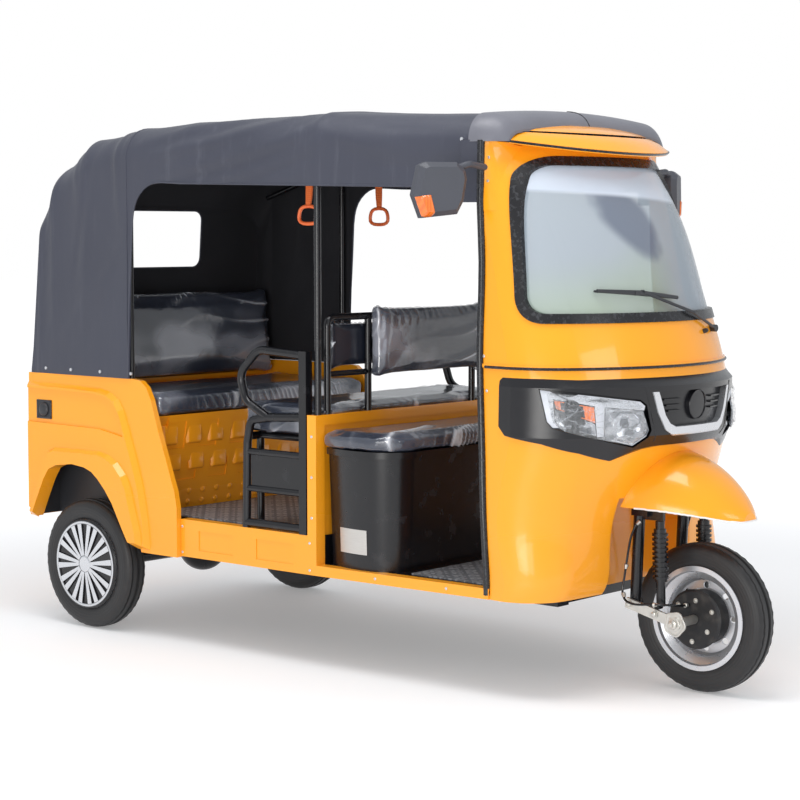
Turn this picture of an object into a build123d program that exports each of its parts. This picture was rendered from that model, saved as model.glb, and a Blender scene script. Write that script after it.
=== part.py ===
"""Three-wheeled passenger auto rickshaw, at full size.

Frame: +X forward, +Y to the vehicle's left, +Z up, origin on the ground under the
middle of the vehicle's bounding box. All lengths are millimetres.
"""
import functools
import math
import os

from build123d import *

# ---------------------------------------------------------------- driving dimensions
# Wheels and axles
WHEELBASE = 2360.0
FRONT_AXLE_X = 1230.0
REAR_AXLE_X = FRONT_AXLE_X - WHEELBASE
TYRE_R = 245.0
TYRE_W = 96.0
RIM_R = 168.0
REAR_TRACK_HALF = 563.0
HUB_R = 46.0
HUBCAP = ((46.3, 0), (56, 0), (56, 26), (53, 34), (49, 36), (49, 150), (54, 152), (55, 160),
          (52, 168), (47.3, 172), (46.3, 172))      # width, radius
HUBCAP_FACE = 55.0
SPOKE_PAIRS = 10
SPOKE_GAP = 15.0                # degrees between the two spokes of a pair
FIT = 0.3                       # gap between pieces that touch without being joined

# Floors, sills and partition
SILL_Y = 580.0
SILL_W = 44.0
SILL_Z = (322.0, 458.0)
SILL_PRESSINGS = ((-543.0, -367.0), (-252.0, -71.0))
SILL_PRESSING_Z = (350.0, 421.0)
DOOR_STRIP_TOP = 357.0          # the sill is cut down to this beside the driver
SILL_REAR_X = -636.0
BENCH_FOOT = (-326.0, 480.0)
BENCH_R = 14.0
PAN_T = 12.0
MAT_T = 4.0
DRIVER_FLOOR_Z = 357.0
PARTITION_X = (-3.0, 38.0)
PARTITION_TOP = 873.0

RAIL_X = (-1440.0, 880.0)
RAIL_Y = (270.0, 330.0)
RAIL_Z = (280.0, 332.0)

# Steering geometry
STEER_POINT = (1085.0, 0.0, 560.0)
STEER_RAKE = 17.35              # degrees back from upright
FORK_Y = 130.0
LINK_PIVOT = (1048.0, 289.0)    # x, z of the leading link's pivot
SHOCK_LOW = (1147.0, 288.0)
SHOCK_TOP = (1140.0, 552.0)
COILS = 10
LEG_R = 19.0
LINK_T = 14.0
AXLE_R = 9.0
STUB_R = 16.0
STEM_R = 14.0
HEAD_R = 30.0
HEAD_Z = (655.0, 800.0)
CROWN_Z = 592.0
BAR_Z = 985.0
BAR_HALF = 290.0
BAR_SWEEP = 90.0
BAR_R = 11.0
GRIP_R = 16.0

# Cab shell: each section is a blunt nose with a wide front arc and two corner arcs
CAB_WALL = 22.0
BEAD_Z = 1070.0
BEAD_H = 12.0
CAB_BOTTOM = 322.0
CAB_TOP = 1786.0
CAB_SECTIONS = (                # height, half width, front x, front arc, corner arc
    (300.0, 556.0, 967.0, 5000.0, 150.0),
    (460.0, 552.0, 1025.0, 2500.0, 180.0),
    (605.0, 548.0, 1058.0, 1300.0, 205.0),
    (800.0, 540.0, 1148.0, 850.0, 235.0),
    (1070.0, 526.0, 1161.0, 725.0, 250.0),
    (1195.0, 514.0, 1125.0, 700.0, 250.0),
    (1470.0, 490.0, 1040.0, 650.0, 250.0),
    (1820.0, 466.0, 912.0, 520.0, 230.0),
)
CAB_TAIL_X = 300.0              # sections run back to here before the pillar edge is cut
CAB_TAPER = 0.1                 # how fast the sides close in towards the rear
PILLAR_EDGE = ((768.0, 300.0), (705.0, 1070.0), (676.0, 1820.0))   # x, z down the door edge
WELL_HALF = 230.0
WELL_BACK = 895.0
WELL_TOP = 640.0
WELL_WALL = 8.0

# Windscreen opening in side view
SCREEN_Z = (1208.0, 1742.0)
SCREEN_REAR = (842.0, 752.0)    # rear edge x at the bottom and at the top
SCREEN_CORNER = (100.0, 64.0)   # the same, corner radii
SEAL_W = 31.0
GLASS_T = 5.0
SKIN = 9.0                      # depth of the glass behind the shell's skin

# Black mask round the lamps and grille: level sections like the cab's, standing proud of it
MASK_SECTIONS = (
    (760.0, 541.0, 1130.0, 942.0, 229.0),
    (850.0, 545.0, 1198.0, 720.0, 245.0),
    (1008.0, 538.0, 1206.0, 675.0, 250.0),
    (1037.0, 529.5, 1164.0, 742.0, 248.0),
)
MASK_EDGE = ((795, 880), (792, 1026), (803, 1036), (1300, 1036), (1300, 817), (1147, 814),
             (1122, 804), (1077, 772), (1035, 801), (950, 832), (822, 853))
LAMP_TURN = 42.0                # degrees a headlight faces out from straight ahead
LAMP_EDGE = ((243, 1006), (406, 990), (575, 967), (597, 950), (616, 868), (605, 845),
             (556, 812), (470, 834), (381, 857), (284, 881), (265, 902))
GRILLE_OUTER = ((222, 990), (199, 922), (166, 866), (132, 846))
GRILLE_INNER = ((200, 990), (170, 914), (148, 886), (122, 874))
EMBLEM_R = 50.0
SLAT_Z = (962.0, 943.0, 925.0)

# Roof front: level sections of the yellow visor, then upright sections of the grey cap
VISOR_SECTIONS = (
    (1750.0, 473.0, 940.0, 542.0, 234.0),
    (1774.0, 499.0, 960.0, 556.0, 252.0),
    (1781.0, 499.0, 960.0, 556.0, 252.0),
    (1802.0, 478.0, 918.0, 556.0, 245.0),
    (1828.0, 446.0, 846.0, 556.0, 230.0),
    (1848.0, 396.0, 766.0, 556.0, 200.0),
)
CAP_SECTIONS = (                # x, half width, edge height, crown, shoulder radius
    (632.0, 503.0, 1874.0, 28.0, 90.0),
    (690.0, 494.0, 1870.0, 28.0, 88.0),
    (730.0, 476.0, 1852.0, 30.0, 84.0),
    (756.0, 452.0, 1814.0, 34.0, 70.0),
)
CAP_WALL = 8.0

# Mirrors: outline in the glass's own plane, (across, up) from MIRROR_POINT, and the wiper
MIRROR_TURN = 27.0
MIRROR_POINT = (615.0, -745.0, 0.0)
MIRROR_EDGE = ((0, 1613), (21, 1706), (44, 1716), (148, 1717), (178, 1693), (184, 1663),
               (172, 1594), (150, 1553), (28, 1540))
WIPER_PIVOT = (235.0, 1176.0)   # y, z
WIPER_BEND = (70.0, 1234.0)
WIPER_JOINT = (-165.0, 1304.0)
WIPER_BLADE = ((-322.0, 1310.0), (2.0, 1284.0))

# Rear body
BODY_Y = 600.0
BODY_WALL = 22.0
BODY_REAR_X = -1466.0
TAIL_LAMP = ((470.0, 560.0), (640.0, 770.0))     # y, z
TAIL_LAMP_SUNK = 8.0
BODY_TOP = 958.0
BULGE = 20.0
FLARE_Y = 640.0
BODY_EDGE = ((-1466, 403), (-1466, 958), (-870, 958), (-826, 953), (-795, 930), (-770, 885),
             (-731, 770), (-690, 664), (-650, 560), (-637, 500), (-637, 318), (-829, 318),
             (-852, 400))
ARCH_EDGE = ((-1428, 380), (-1384, 470), (-1340, 553), (-1309, 595), (-1266, 613), (-1171, 624),
             (-1104, 617), (-1060, 603), (-1025, 578), (-985, 540), (-947, 494), (-890, 400),
             (-836, 316), (-836, 250), (-1440, 250))
FLARE_EDGE = ((-1462, 404), (-1420, 500), (-1387, 581), (-1360, 643), (-1330, 678), (-1289, 692),
              (-1137, 694), (-1030, 694), (-978, 684), (-925, 658), (-878, 612), (-850, 560),
              (-836, 511), (-800, 400), (-792, 330), (-1000, 330))
BULGE_EDGE = ((-1466, 430), (-1466, 924), (-1226, 921), (-1053, 916), (-990, 905), (-948, 882),
              (-920, 842), (-890, 770), (-845, 650), (-815, 560), (-790, 440), (-780, 330),
              (-1300, 330))
PRESSING_EDGE = ((-1466, 770), (-1040, 764), (-905, 742), (-912, 780), (-925, 818), (-960, 860),
                 (-1005, 885), (-1070, 894), (-1466, 900))
PRESSING_DEPTH = 9.0
SEAT_BASE_WALL = 10.0
BASE_PRESSINGS = (              # z limits and the middles, y, of the pockets in each row
    ((691, 792), (110, 276, 442), 94),
    ((568, 640), (40, 203, 366), 94),
)

# Canopy
CANOPY_WALL = 8.0
CANOPY_SECTIONS = (             # x, half width, edge height, crown, shoulder radius
    (-1445.0, 604.0, 985.0, 2.0, 12.0),
    (-1398.0, 600.0, 1585.0, 15.0, 120.0),
    (-1319.0, 602.0, 1735.0, 20.0, 140.0),
    (-1140.0, 606.0, 1838.0, 24.0, 130.0),
    (-898.0, 608.0, 1872.0, 25.0, 120.0),
    (-600.0, 604.0, 1886.0, 26.0, 110.0),
    (18.0, 572.0, 1896.0, 26.0, 110.0),
    (640.0, 500.0, 1872.0, 26.0, 100.0),
)
CANOPY_BOTTOM = BODY_TOP + FIT
OPENING_REAR_X = -845.0
VALANCE_Z = 1680.0
REAR_WINDOW = (265.0, 1353.0, 1585.0)   # half width, bottom, top
POST_X, POST_Y, POST_R = 18.0, 548.0, 12.5

STRAP_AT = ((-210.0, -350.0), (-495.0, 350.0))

# Seats
REAR_SEAT_Z = (820.0, 910.0)
REAR_SEAT_X = (-1250.0, -765.0)
SEAT_HALF = 560.0
MID_TOP = 905.0
MID_X = (-345.0, 30.0)
DRIVER_BOX_X = (60.0, 352.0)
DRIVER_BOX_HALF = 518.0
DRIVER_BOX_BOW = 32.0
DRIVER_BOX_CORNER = 105.0
DRIVER_BOX_TOP = 763.0

parts = {}


# ---------------------------------------------------------------- helpers
def block(x, y, z):
    """A box between three pairs of limits."""
    size = [pair[1] - pair[0] for pair in (x, y, z)]
    middle = [(pair[1] + pair[0]) / 2 for pair in (x, y, z)]
    return Pos(*middle) * Box(*size)


def both(shape):
    """A shape and its mirror image across the vehicle's centre plane."""
    return shape + mirror(shape, about=Plane.XZ)


def flip(shape):
    """The mirror image across the vehicle's centre plane."""
    return mirror(shape, about=Plane.XZ)


def side_face(points, radius=0.0):
    """A face drawn in side view, from (x, z) points."""
    face = make_face(Polyline(*points, close=True))
    return fillet(face.vertices(), radius) if radius else face


def side_prism(face, y):
    """A side-view face made solid between two widths."""
    return Pos(0, y[1], 0) * Rot(90, 0, 0) * extrude(face, y[1] - y[0])


def front_prism(face, x):
    """A front-view face, drawn in (y, z), made solid between two stations."""
    return Pos(x[0], 0, 0) * extrude(Plane.YZ * face, x[1] - x[0])


def rod(start, end, radius):
    """A round bar from one point to another."""
    a, b = Vector(*start), Vector(*end)
    plane = Plane(origin=a, z_dir=b - a)
    return extrude(plane * Circle(radius), (b - a).length)


def bent_tube(points, bends, radius):
    """A round tube through the points, bent at each corner."""
    path = FilletPolyline(*points, radius=bends)
    return sweep(Plane(origin=path @ 0, z_dir=path % 0) * Circle(radius), path=path)


def turned(profile, x, y, z):
    """A (width, radius) profile turned about a wheel's axis."""
    return Pos(x, y, z) * revolve(Plane.YZ * profile, axis=Axis.Y)


def lathe(points, x, y, z):
    return turned(make_face(Polyline(*points, close=True)), x, y, z)


def steer_at(z):
    """The point of the steering axis at a height."""
    run = math.tan(math.radians(STEER_RAKE))
    return (STEER_POINT[0] - run * (z - STEER_POINT[2]), 0.0, z)


def save(name, shape):
    parts[name] = shape


# ---------------------------------------------------------------- cab shell
def cab_outline(row, inset):
    """One level section of the cab, moved inwards by inset."""
    z, half, front, front_r, corner_r = row
    half, front = half - inset, front - inset
    front_r, corner_r = front_r - inset, corner_r - inset
    reach = front_r - corner_r
    corner_y = half - corner_r
    front_x = front - front_r
    corner_x = front_x + math.sqrt(reach ** 2 - corner_y ** 2)
    turn = math.atan2(corner_y, corner_x - front_x)
    touch = (front_x + front_r * math.cos(turn), front_r * math.sin(turn))
    halfway = (turn + math.pi / 2) / 2
    knee = (corner_x + corner_r * math.cos(halfway), corner_y + corner_r * math.sin(halfway))
    tail = half - CAB_TAPER * (corner_x - CAB_TAIL_X)
    return Pos(0, 0, z) * make_face([
        Line((CAB_TAIL_X, -tail), (corner_x, -half)),
        ThreePointArc((corner_x, -half), (knee[0], -knee[1]), (touch[0], -touch[1])),
        ThreePointArc((touch[0], -touch[1]), (front, 0), touch),
        ThreePointArc(touch, knee, (corner_x, half)),
        Line((corner_x, half), (CAB_TAIL_X, tail)),
        Line((CAB_TAIL_X, tail), (CAB_TAIL_X, -tail)),
    ])


@functools.lru_cache(maxsize=None)
def cab_solid(inset=0.0):
    """The cab's outside moved inwards by inset, or outwards where it is negative."""
    solid = loft([cab_outline(row, inset) for row in CAB_SECTIONS])
    edge = [(x, z) for x, z in PILLAR_EDGE]
    behind = side_face([(200, edge[0][1] - 9)] + [(edge[0][0], edge[0][1] - 9)] + edge
                       + [(edge[-1][0], edge[-1][1] + 9), (200, edge[-1][1] + 9)])
    return solid if inset > CAB_WALL - 1 else solid - side_prism(behind, (-900, 900))


def level_slab(low, high):
    return block((-2000, 2000), (-900, 900), (low, high))


def screen_face(inset):
    """The windscreen opening in side view, made smaller by inset."""
    low, high = SCREEN_Z[0] + inset, SCREEN_Z[1] - inset
    lean = (SCREEN_REAR[1] - SCREEN_REAR[0]) / (SCREEN_Z[1] - SCREEN_Z[0])
    foot = SCREEN_REAR[0] + lean * inset + inset
    head = SCREEN_REAR[1] - lean * inset + inset
    face = make_face(Polyline((foot, low), (1400, low), (1400, high), (head, high), close=True))
    for corner, radius in zip((low, high), SCREEN_CORNER):
        rear = face.vertices().sort_by(Axis.X)[:3]
        face = fillet([v for v in rear if abs(v.Y - corner) < 1], radius - inset)
    return face


def make_cab():
    outer = cab_solid()
    inner = cab_solid(CAB_WALL)
    shell = outer - inner
    well = block((WELL_BACK - WELL_WALL, 1300), (-WELL_HALF - WELL_WALL, WELL_HALF + WELL_WALL),
                 (0, WELL_TOP + WELL_WALL))
    lower = shell & level_slab(CAB_BOTTOM, BEAD_Z - BEAD_H / 2)
    neck = rod(steer_at(HEAD_Z[0] - 60), steer_at(HEAD_Z[1]), 2 * HEAD_R)
    save("front_lower_shell", lower - well - neck)
    screen = side_prism(screen_face(0), (-900, 900))
    upper = shell & level_slab(BEAD_Z + BEAD_H / 2, CAB_TOP)

    ring = cab_solid(-5.0) - inner
    bead = ring & level_slab(BEAD_Z - BEAD_H / 2, BEAD_Z + BEAD_H / 2)
    save("front_upper_shell", upper - screen + (bead & block((712, 2000), (-900, 900), (0, 2000))))

    pane = side_prism(screen_face(SEAL_W), (-900, 900))
    rim = (cab_solid(-6.0) - cab_solid(SKIN + GLASS_T + 6.0)) & (screen - pane)
    save("windscreen_seal", rim)
    save("windscreen_glass", (cab_solid(SKIN) - cab_solid(SKIN + GLASS_T)) & pane)

    liner_out = well & level_slab(CAB_BOTTOM, WELL_TOP + WELL_WALL)
    liner_in = block((WELL_BACK, 1400), (-WELL_HALF, WELL_HALF), (0, WELL_TOP))
    head = rod(steer_at(HEAD_Z[0] - 60), steer_at(HEAD_Z[0] + 60), HEAD_R + FIT)
    save("wheel_well", (liner_out - liner_in - head) & cab_solid(1.0))


make_cab()


# ---------------------------------------------------------------- cab fittings
def mask_solid(inset=0.0):
    """The outside of the lamp mask, moved inwards by inset."""
    return loft([cab_outline(row, inset) for row in MASK_SECTIONS], ruled=True)


def lamp_prism(points, inset=0.0):
    """An outline drawn square to the way the right headlight faces, made solid."""
    turn = math.radians(LAMP_TURN)
    across = (math.sin(turn), math.cos(turn), 0)
    ahead = (math.cos(turn), -math.sin(turn), 0)
    face = make_face(Polyline(*points, close=True))
    face = offset(face, -inset) if inset else face
    return extrude(Plane(origin=(0, 0, 0), x_dir=across, z_dir=ahead) * face, 1500)


def mirrored_outline(points):
    """A closed outline from the points of its right half."""
    return make_face(Polyline(*points, *[(-y, z) for y, z in reversed(points)], close=True))


def make_fittings():
    skin = cab_solid(-FIT)
    mask = side_prism(side_face(MASK_EDGE), (-900, 900))
    proud = mask_solid() - skin
    lamp = lamp_prism(LAMP_EDGE)
    grille = front_prism(mirrored_outline(GRILLE_OUTER), (900, 1400))
    grille_in = front_prism(mirrored_outline(GRILLE_INNER), (900, 1400))
    panel = (mask_solid(18.0) - skin) & grille_in
    slats = Part()
    for z in SLAT_Z:
        slats += both(block((1100, 1300), (86, 166 - 0.55 * (SLAT_Z[0] - z)), (z - 2.5, z + 2.5)))
    slats += Pos(1150, 0, 940) * Rot(0, 90, 0) * Cylinder(EMBLEM_R, 200)
    slats = (mask_solid(8.0) - skin) & slats & grille_in
    save("headlight_mask", ((proud & mask) - both(lamp) - grille) + panel + slats)
    lens = (mask_solid(5.0) - skin) & mask & lamp_prism(LAMP_EDGE, FIT)
    save("headlights", both(lens))
    save("grille_trim", ((mask_solid(-4.0) - skin) & grille) - grille_in - panel)

    outer = []
    inner = []
    for x, half, base, top in FENDER_SECTIONS:
        outer.append(fender_face(x, half, base, top))
        inner.append(fender_face(x - 5, half - 5, base - 8, top - 5))
    dome = loft(outer) - loft(inner)
    save("front_fender", dome - skin - block((0, 990), (-900, 900), (0, 2000)))


FENDER_SECTIONS = (             # x, half width, edge height, top height
    (960.0, 220.0, 612.0, 800.0),
    (1100.0, 208.0, 609.0, 794.0),
    (1200.0, 186.0, 604.0, 764.0),
    (1300.0, 142.0, 592.0, 701.0),
    (1360.0, 92.0, 580.0, 642.0),
    (1397.0, 36.0, 572.0, 600.0),
)


def fender_face(x, half, base, top):
    """An upright section of the fender: steep sides under a rounded ridge."""
    rise = top - base
    side = [(half, base), (half * 0.97, base + rise * 0.2), (half * 0.82, base + rise * 0.55),
            (half * 0.5, base + rise * 0.87)]
    curve = Spline(*[(-y, z) for y, z in side], (0, top), *reversed(side))
    return Pos(x, 0, 0) * (Plane.YZ * make_face([curve, Line((half, base), (-half, base))]))


make_fittings()

# ---------------------------------------------------------------- floors, sills, frame
def make_floor():
    low, high = SILL_Z
    edge = SILL_Y - SILL_W
    sill = block((SILL_REAR_X, PARTITION_X[1]), (edge, SILL_Y), SILL_Z)
    for x in SILL_PRESSINGS:
        sill -= block(x, (SILL_Y - 3, SILL_Y + 1), SILL_PRESSING_Z)
    plan = make_face(Polyline((PARTITION_X[1], edge), (PARTITION_X[1], SILL_Y),
                              (770, SILL_Y - 25), (770, edge - 20), close=True))
    strip = Pos(0, 0, low) * extrude(plan, DOOR_STRIP_TOP - low) - cab_solid(-FIT)
    save("side_sills", both(sill + strip))
    pan = block((-838, PARTITION_X[0]), (-edge, edge), (high - PAN_T, high))
    pan += block((-905, -838), (-488, 488), (high - PAN_T, high))
    pan += block((PARTITION_X[0], PARTITION_X[1]), (-edge, edge), (DRIVER_FLOOR_Z - PAN_T, high))
    front = block((PARTITION_X[1], WELL_BACK - WELL_WALL), (-edge + 22, edge - 22),
                  (DRIVER_FLOOR_Z - PAN_T, DRIVER_FLOOR_Z))
    front -= block((70, 340), (-200, 200), (300, 400))
    front -= block((844, 900), (-41, 41), (300, 400))
    front -= cab_solid() - cab_solid(CAB_WALL + FIT)
    save("floor_pan", pan + front)
    mat = block((-835, PARTITION_X[0] - 20), (-edge + 12, edge - 12), (high, high + MAT_T))
    mat -= both(rod((*BENCH_FOOT, high - 1), (*BENCH_FOOT, high + 9), BENCH_R + 1))
    mat_front = block((400, 840), (-500, 500), (DRIVER_FLOOR_Z, DRIVER_FLOOR_Z + MAT_T))
    save("floor_mats", mat + mat_front)

    panel = block((PARTITION_X[0] + 12, PARTITION_X[1] - 6), (-edge, edge),
                  (high, PARTITION_TOP - 35))
    rail = block(PARTITION_X, (-SILL_Y, SILL_Y), (PARTITION_TOP - 35, PARTITION_TOP))
    posts = both(block(PARTITION_X, (edge, SILL_Y), (high, PARTITION_TOP - 35)))
    save("partition", panel + rail + posts)

    make_frame(edge)


def make_frame(edge):
    """The ladder frame under the floors and the tube that the fork turns in."""
    inner, outer = RAIL_Y
    low, high = RAIL_Z
    save("frame_rails", both(block(RAIL_X, RAIL_Y, RAIL_Z)))
    cross = Part()
    for x in (-1420, -1000, -620, -200, 400, 840):
        cross += block((x, x + 40), (-inner + FIT, inner - FIT), (low + 7, high - 10))
    for x in (-600, -300, -60):
        cross += block((x, x + 40), (-edge + 2, edge - 2), (high + FIT, SILL_Z[1] - PAN_T))
    for x in (400, 700):
        cross += block((x, x + 40), (-edge + 40, edge - 40), (high + FIT, DRIVER_FLOOR_Z - PAN_T))
    save("frame_crossmembers", cross)

    tube = rod(steer_at(HEAD_Z[0] - 30), steer_at(HEAD_Z[1]), HEAD_R)
    upright = block((845, 885), (-40, 40), (high - 10 + FIT, 720))
    upright += block((845, 1040), (-25, 25), (665, 720))
    bore = rod(steer_at(HEAD_Z[0] - 40), steer_at(HEAD_Z[1] + 10), STEM_R + 4)
    save("steering_head", (tube + upright) - bore)


# ---------------------------------------------------------------- rear body
def raised(points, y, rise, slope):
    """A side-view outline standing out from a width, its edge drawn in by slope at the top."""
    foot = side_face(points)
    head = offset(foot, -slope, kind=Kind.INTERSECTION)
    lower, upper = (Pos(0, level, 0) * Rot(90, 0, 0) * face
                    for level, face in ((y - 1, foot), (y + rise, head)))
    return loft([lower, upper])


def make_rear_body():
    panel = side_prism(side_face(BODY_EDGE), (BODY_Y - BODY_WALL, BODY_Y))
    side = panel + raised(BULGE_EDGE, BODY_Y, BULGE, 14) + raised(FLARE_EDGE, BODY_Y, FLARE_Y - BODY_Y, 26)
    side -= side_prism(side_face(PRESSING_EDGE), (BODY_Y + BULGE - PRESSING_DEPTH, BODY_Y + BULGE + 1))
    side -= side_prism(side_face(ARCH_EDGE), (BODY_Y - BODY_WALL - 1, FLARE_Y + 1))
    side &= block((BODY_REAR_X, 0), (0, 900), (0, 2000))
    save("rear_side_panels", both(side))
    inside = BODY_Y - BODY_WALL
    tail = block((BODY_REAR_X, BODY_REAR_X + BODY_WALL), (-inside, inside), (403, BODY_TOP))
    (near, far), (low, high) = TAIL_LAMP
    tail -= both(block((BODY_REAR_X - 1, BODY_REAR_X + TAIL_LAMP_SUNK + FIT),
                       (near - FIT, far + FIT), (low - FIT, high + FIT)))
    deck = block((BODY_REAR_X + BODY_WALL, -1330), (-inside, inside), (900, 915))
    save("rear_body_back", tail + deck)
    wall_y = 490.0
    house = side_face(((-1420, 410), (-1420, 700), (-870, 700), (-842, 410)))
    hole = side_face(((-1414, 409), (-1414, 694), (-876, 694), (-850, 409)))
    liner = side_prism(house, (wall_y, inside)) - side_prism(hole, (wall_y + 6, inside + 1))
    save("wheel_houses", both(liner))
    front, wall = -860.0, SEAT_BASE_WALL
    riser = side_face(((front - wall, 458), (front, 458), (-790, REAR_SEAT_Z[0]),
                       (-1300, REAR_SEAT_Z[0]), (-1300, REAR_SEAT_Z[0] - wall),
                       (-798 - wall, REAR_SEAT_Z[0] - wall)))
    base = side_prism(riser, (-wall_y + 1, wall_y - 1))
    lean = (-790 - front) / (REAR_SEAT_Z[0] - 458)
    for (low, high), middles, width in BASE_PRESSINGS:
        foot, head = front + lean * (low - 458), front + lean * (high - 458)
        pocket = side_face(((foot - 4, low), (foot + 20, low), (head + 20, high), (head - 4, high)))
        for y in middles:
            limits = (y - width / 2, min(y + width / 2, wall_y - 4))
            base -= both(side_prism(pocket, limits))
    wings = both(side_prism(side_face(((-846, 712), (-790, REAR_SEAT_Z[0]), (-1300, REAR_SEAT_Z[0]),
                                       (-1300, REAR_SEAT_Z[0] - 10), (-812, REAR_SEAT_Z[0] - 10),
                                       (-854, 712))), (wall_y - 1, inside)))
    save("rear_seat_base", base + wings)


# ---------------------------------------------------------------- canopy
def canopy_section(row, inset):
    x, half, edge, crown, radius = row
    half, edge = half - inset, edge - inset
    low = 940.0
    outline = [Line((half, low), (half, edge)),
               ThreePointArc((half, edge), (0, edge + crown), (-half, edge)),
               Line((-half, edge), (-half, low)), Line((-half, low), (half, low))]
    face = make_face(outline)
    top = face.vertices().sort_by(Axis.Y)[-2:]
    face = fillet(top, radius - inset * 0.5)
    shift = inset if x < -1300 else 0
    return Pos(x + shift, 0, 0) * (Plane.YZ * face)


def canopy_solid(inset):
    return loft([canopy_section(row, inset) for row in CANOPY_SECTIONS], ruled=True)


def make_canopy():
    shell = canopy_solid(0.0) - canopy_solid(CANOPY_WALL)
    shell -= block((632, 800), (-900, 900), (900, 2000)) & canopy_solid(CANOPY_WALL)
    shell -= block((-2000, 2000), (-900, 900), (900, CANOPY_BOTTOM))
    opening = make_face(Polyline((OPENING_REAR_X, 900), (OPENING_REAR_X + 25, VALANCE_Z),
                                 (700, VALANCE_Z - 16), (700, 900), close=True))
    corner = opening.vertices().sort_by(Axis.X)[:2].sort_by(Axis.Y)[-1:]
    opening = fillet(corner, 130)
    shell -= side_prism(opening, (-900, 900))
    half, low, high = REAR_WINDOW
    window = fillet(make_face(Polyline((-half, low), (half, low), (half, high), (-half, high),
                                       close=True)).vertices(), 40)
    shell -= front_prism(window, (-1600, -1300))
    save("canopy", shell)

    posts = both(rod((POST_X, POST_Y, PARTITION_TOP), (POST_X, POST_Y, 1806), POST_R))
    rail = [(-1290, 540, 1640), (-898, 575, 1770), (18, 540, 1810), (626, 462, 1795)]
    for start, end in zip(rail, rail[1:]):
        posts += both(rod(start, end, 10))
    for x, y, z in rail[1:] + [(side[0], 556, 1800) for side in STRAP_AT]:
        posts += rod((x, -y, z), (x, y, z), 10)
    posts += both(rod((-898, 575, BODY_TOP), (-898, 575, 1770), 10))
    save("canopy_frame", posts)


# ---------------------------------------------------------------- seats
def make_seats():
    x, z = REAR_SEAT_X, REAR_SEAT_Z
    half = SEAT_HALF
    cushion = block(x, (-half, half), (z[0] + FIT, z[1]))
    save("rear_seat_cushion", fillet(cushion.edges(), 20))
    back = side_face(((x[0] - 105, 915 + FIT), (x[0] - 5, 915 + FIT), (x[0] - 45, 1262),
                      (x[0] - 125, 1262)), 25)
    save("rear_seat_back", side_prism(back, (-half + 8, half - 8)))
    mid = side_face(((MID_X[0], 795), (PARTITION_X[0] - FIT, 795),
                     (PARTITION_X[0] - FIT, PARTITION_TOP + FIT),
                     (MID_X[1], PARTITION_TOP + FIT), (MID_X[1], MID_TOP), (MID_X[0], MID_TOP)))
    save("mid_bench_cushion", side_prism(mid, (-533, 533)))
    save("mid_bench_back", fillet(block((-35, 5.5 - FIT), (-470, 470), (1020, 1195)).edges(), 15))
    save("driver_back_pad", fillet(block((30.5 + FIT, 92), (-300, 300), (992, 1240)).edges(), 20))
    frame = bent_tube([(18, -500, PARTITION_TOP), (18, -500, 1205), (18, 500, 1205),
                       (18, 500, PARTITION_TOP)], 30, 12.5)
    for y in (-290, 290):
        frame += rod((18, y, PARTITION_TOP), (18, y, 1205), 12.5)
    frame += rod((18, -500, 1010), (18, 500, 1010), 10)
    mid = parts["mid_bench_cushion"]
    for y in (-500, -290, 290, 500):
        mid -= rod((18, y, 800), (18, y, 1000), 12.5 + FIT)
    save("mid_bench_cushion", mid)
    foot_x, foot_y = BENCH_FOOT
    bench = both(rod((foot_x, foot_y, SILL_Z[1] + FIT), (foot_x, foot_y, 770), BENCH_R))
    bench += rod((foot_x, -540, 778), (foot_x, 540, 778), BENCH_R)
    bench += rod((-40, -530, 778), (-40, 530, 778), 14)
    bench += both(rod((-326, 480, 778), (-40, 480, 778), 12))
    bench += both(rod((-40, 400, 778), (PARTITION_X[0] + 12, 400, 778), 12))
    save("bench_frames", frame + bench)

    low, high = DRIVER_FLOOR_Z + FIT, DRIVER_BOX_TOP
    body = loft([driver_plan(low, 0), driver_plan(high, 14)])
    inner = loft([driver_plan(low - 1, -8), driver_plan(high - 8, 6)])
    rim = extrude(driver_plan(high - 22, 22), 22) - extrude(driver_plan(high - 23, -8), 30)
    save("driver_seat_box", (body - inner) + rim)
    pad = extrude(driver_plan(high + FIT, 34), 65)
    save("driver_seat_cushion", fillet(pad.edges().filter_by(Plane.XY), 18))


def driver_plan(z, grow):
    """The driver's seat in plan: square at the partition, bowed out and rounded in front."""
    back, side = DRIVER_BOX_X[0] - grow * 0.4, DRIVER_BOX_HALF + grow
    front, bow, corner = DRIVER_BOX_X[1] + grow, DRIVER_BOX_BOW, DRIVER_BOX_CORNER + grow
    turn = math.radians(45)
    middle = (back + front - corner) / 2
    knee = (front - corner * (1 - math.cos(turn)), side + bow - corner * (1 - math.sin(turn)))
    return Pos(0, 0, z) * make_face([
        Line((back, side), (back, -side)),
        ThreePointArc((back, -side), (middle, -side - bow * 0.86), (front - corner, -side - bow)),
        ThreePointArc((front - corner, -side - bow), (knee[0], -knee[1]),
                      (front, -side - bow + corner)),
        Line((front, -side - bow + corner), (front, side + bow - corner)),
        ThreePointArc((front, side + bow - corner), knee, (front - corner, side + bow)),
        ThreePointArc((front - corner, side + bow), (middle, side + bow * 0.86), (back, side)),
    ])


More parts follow.
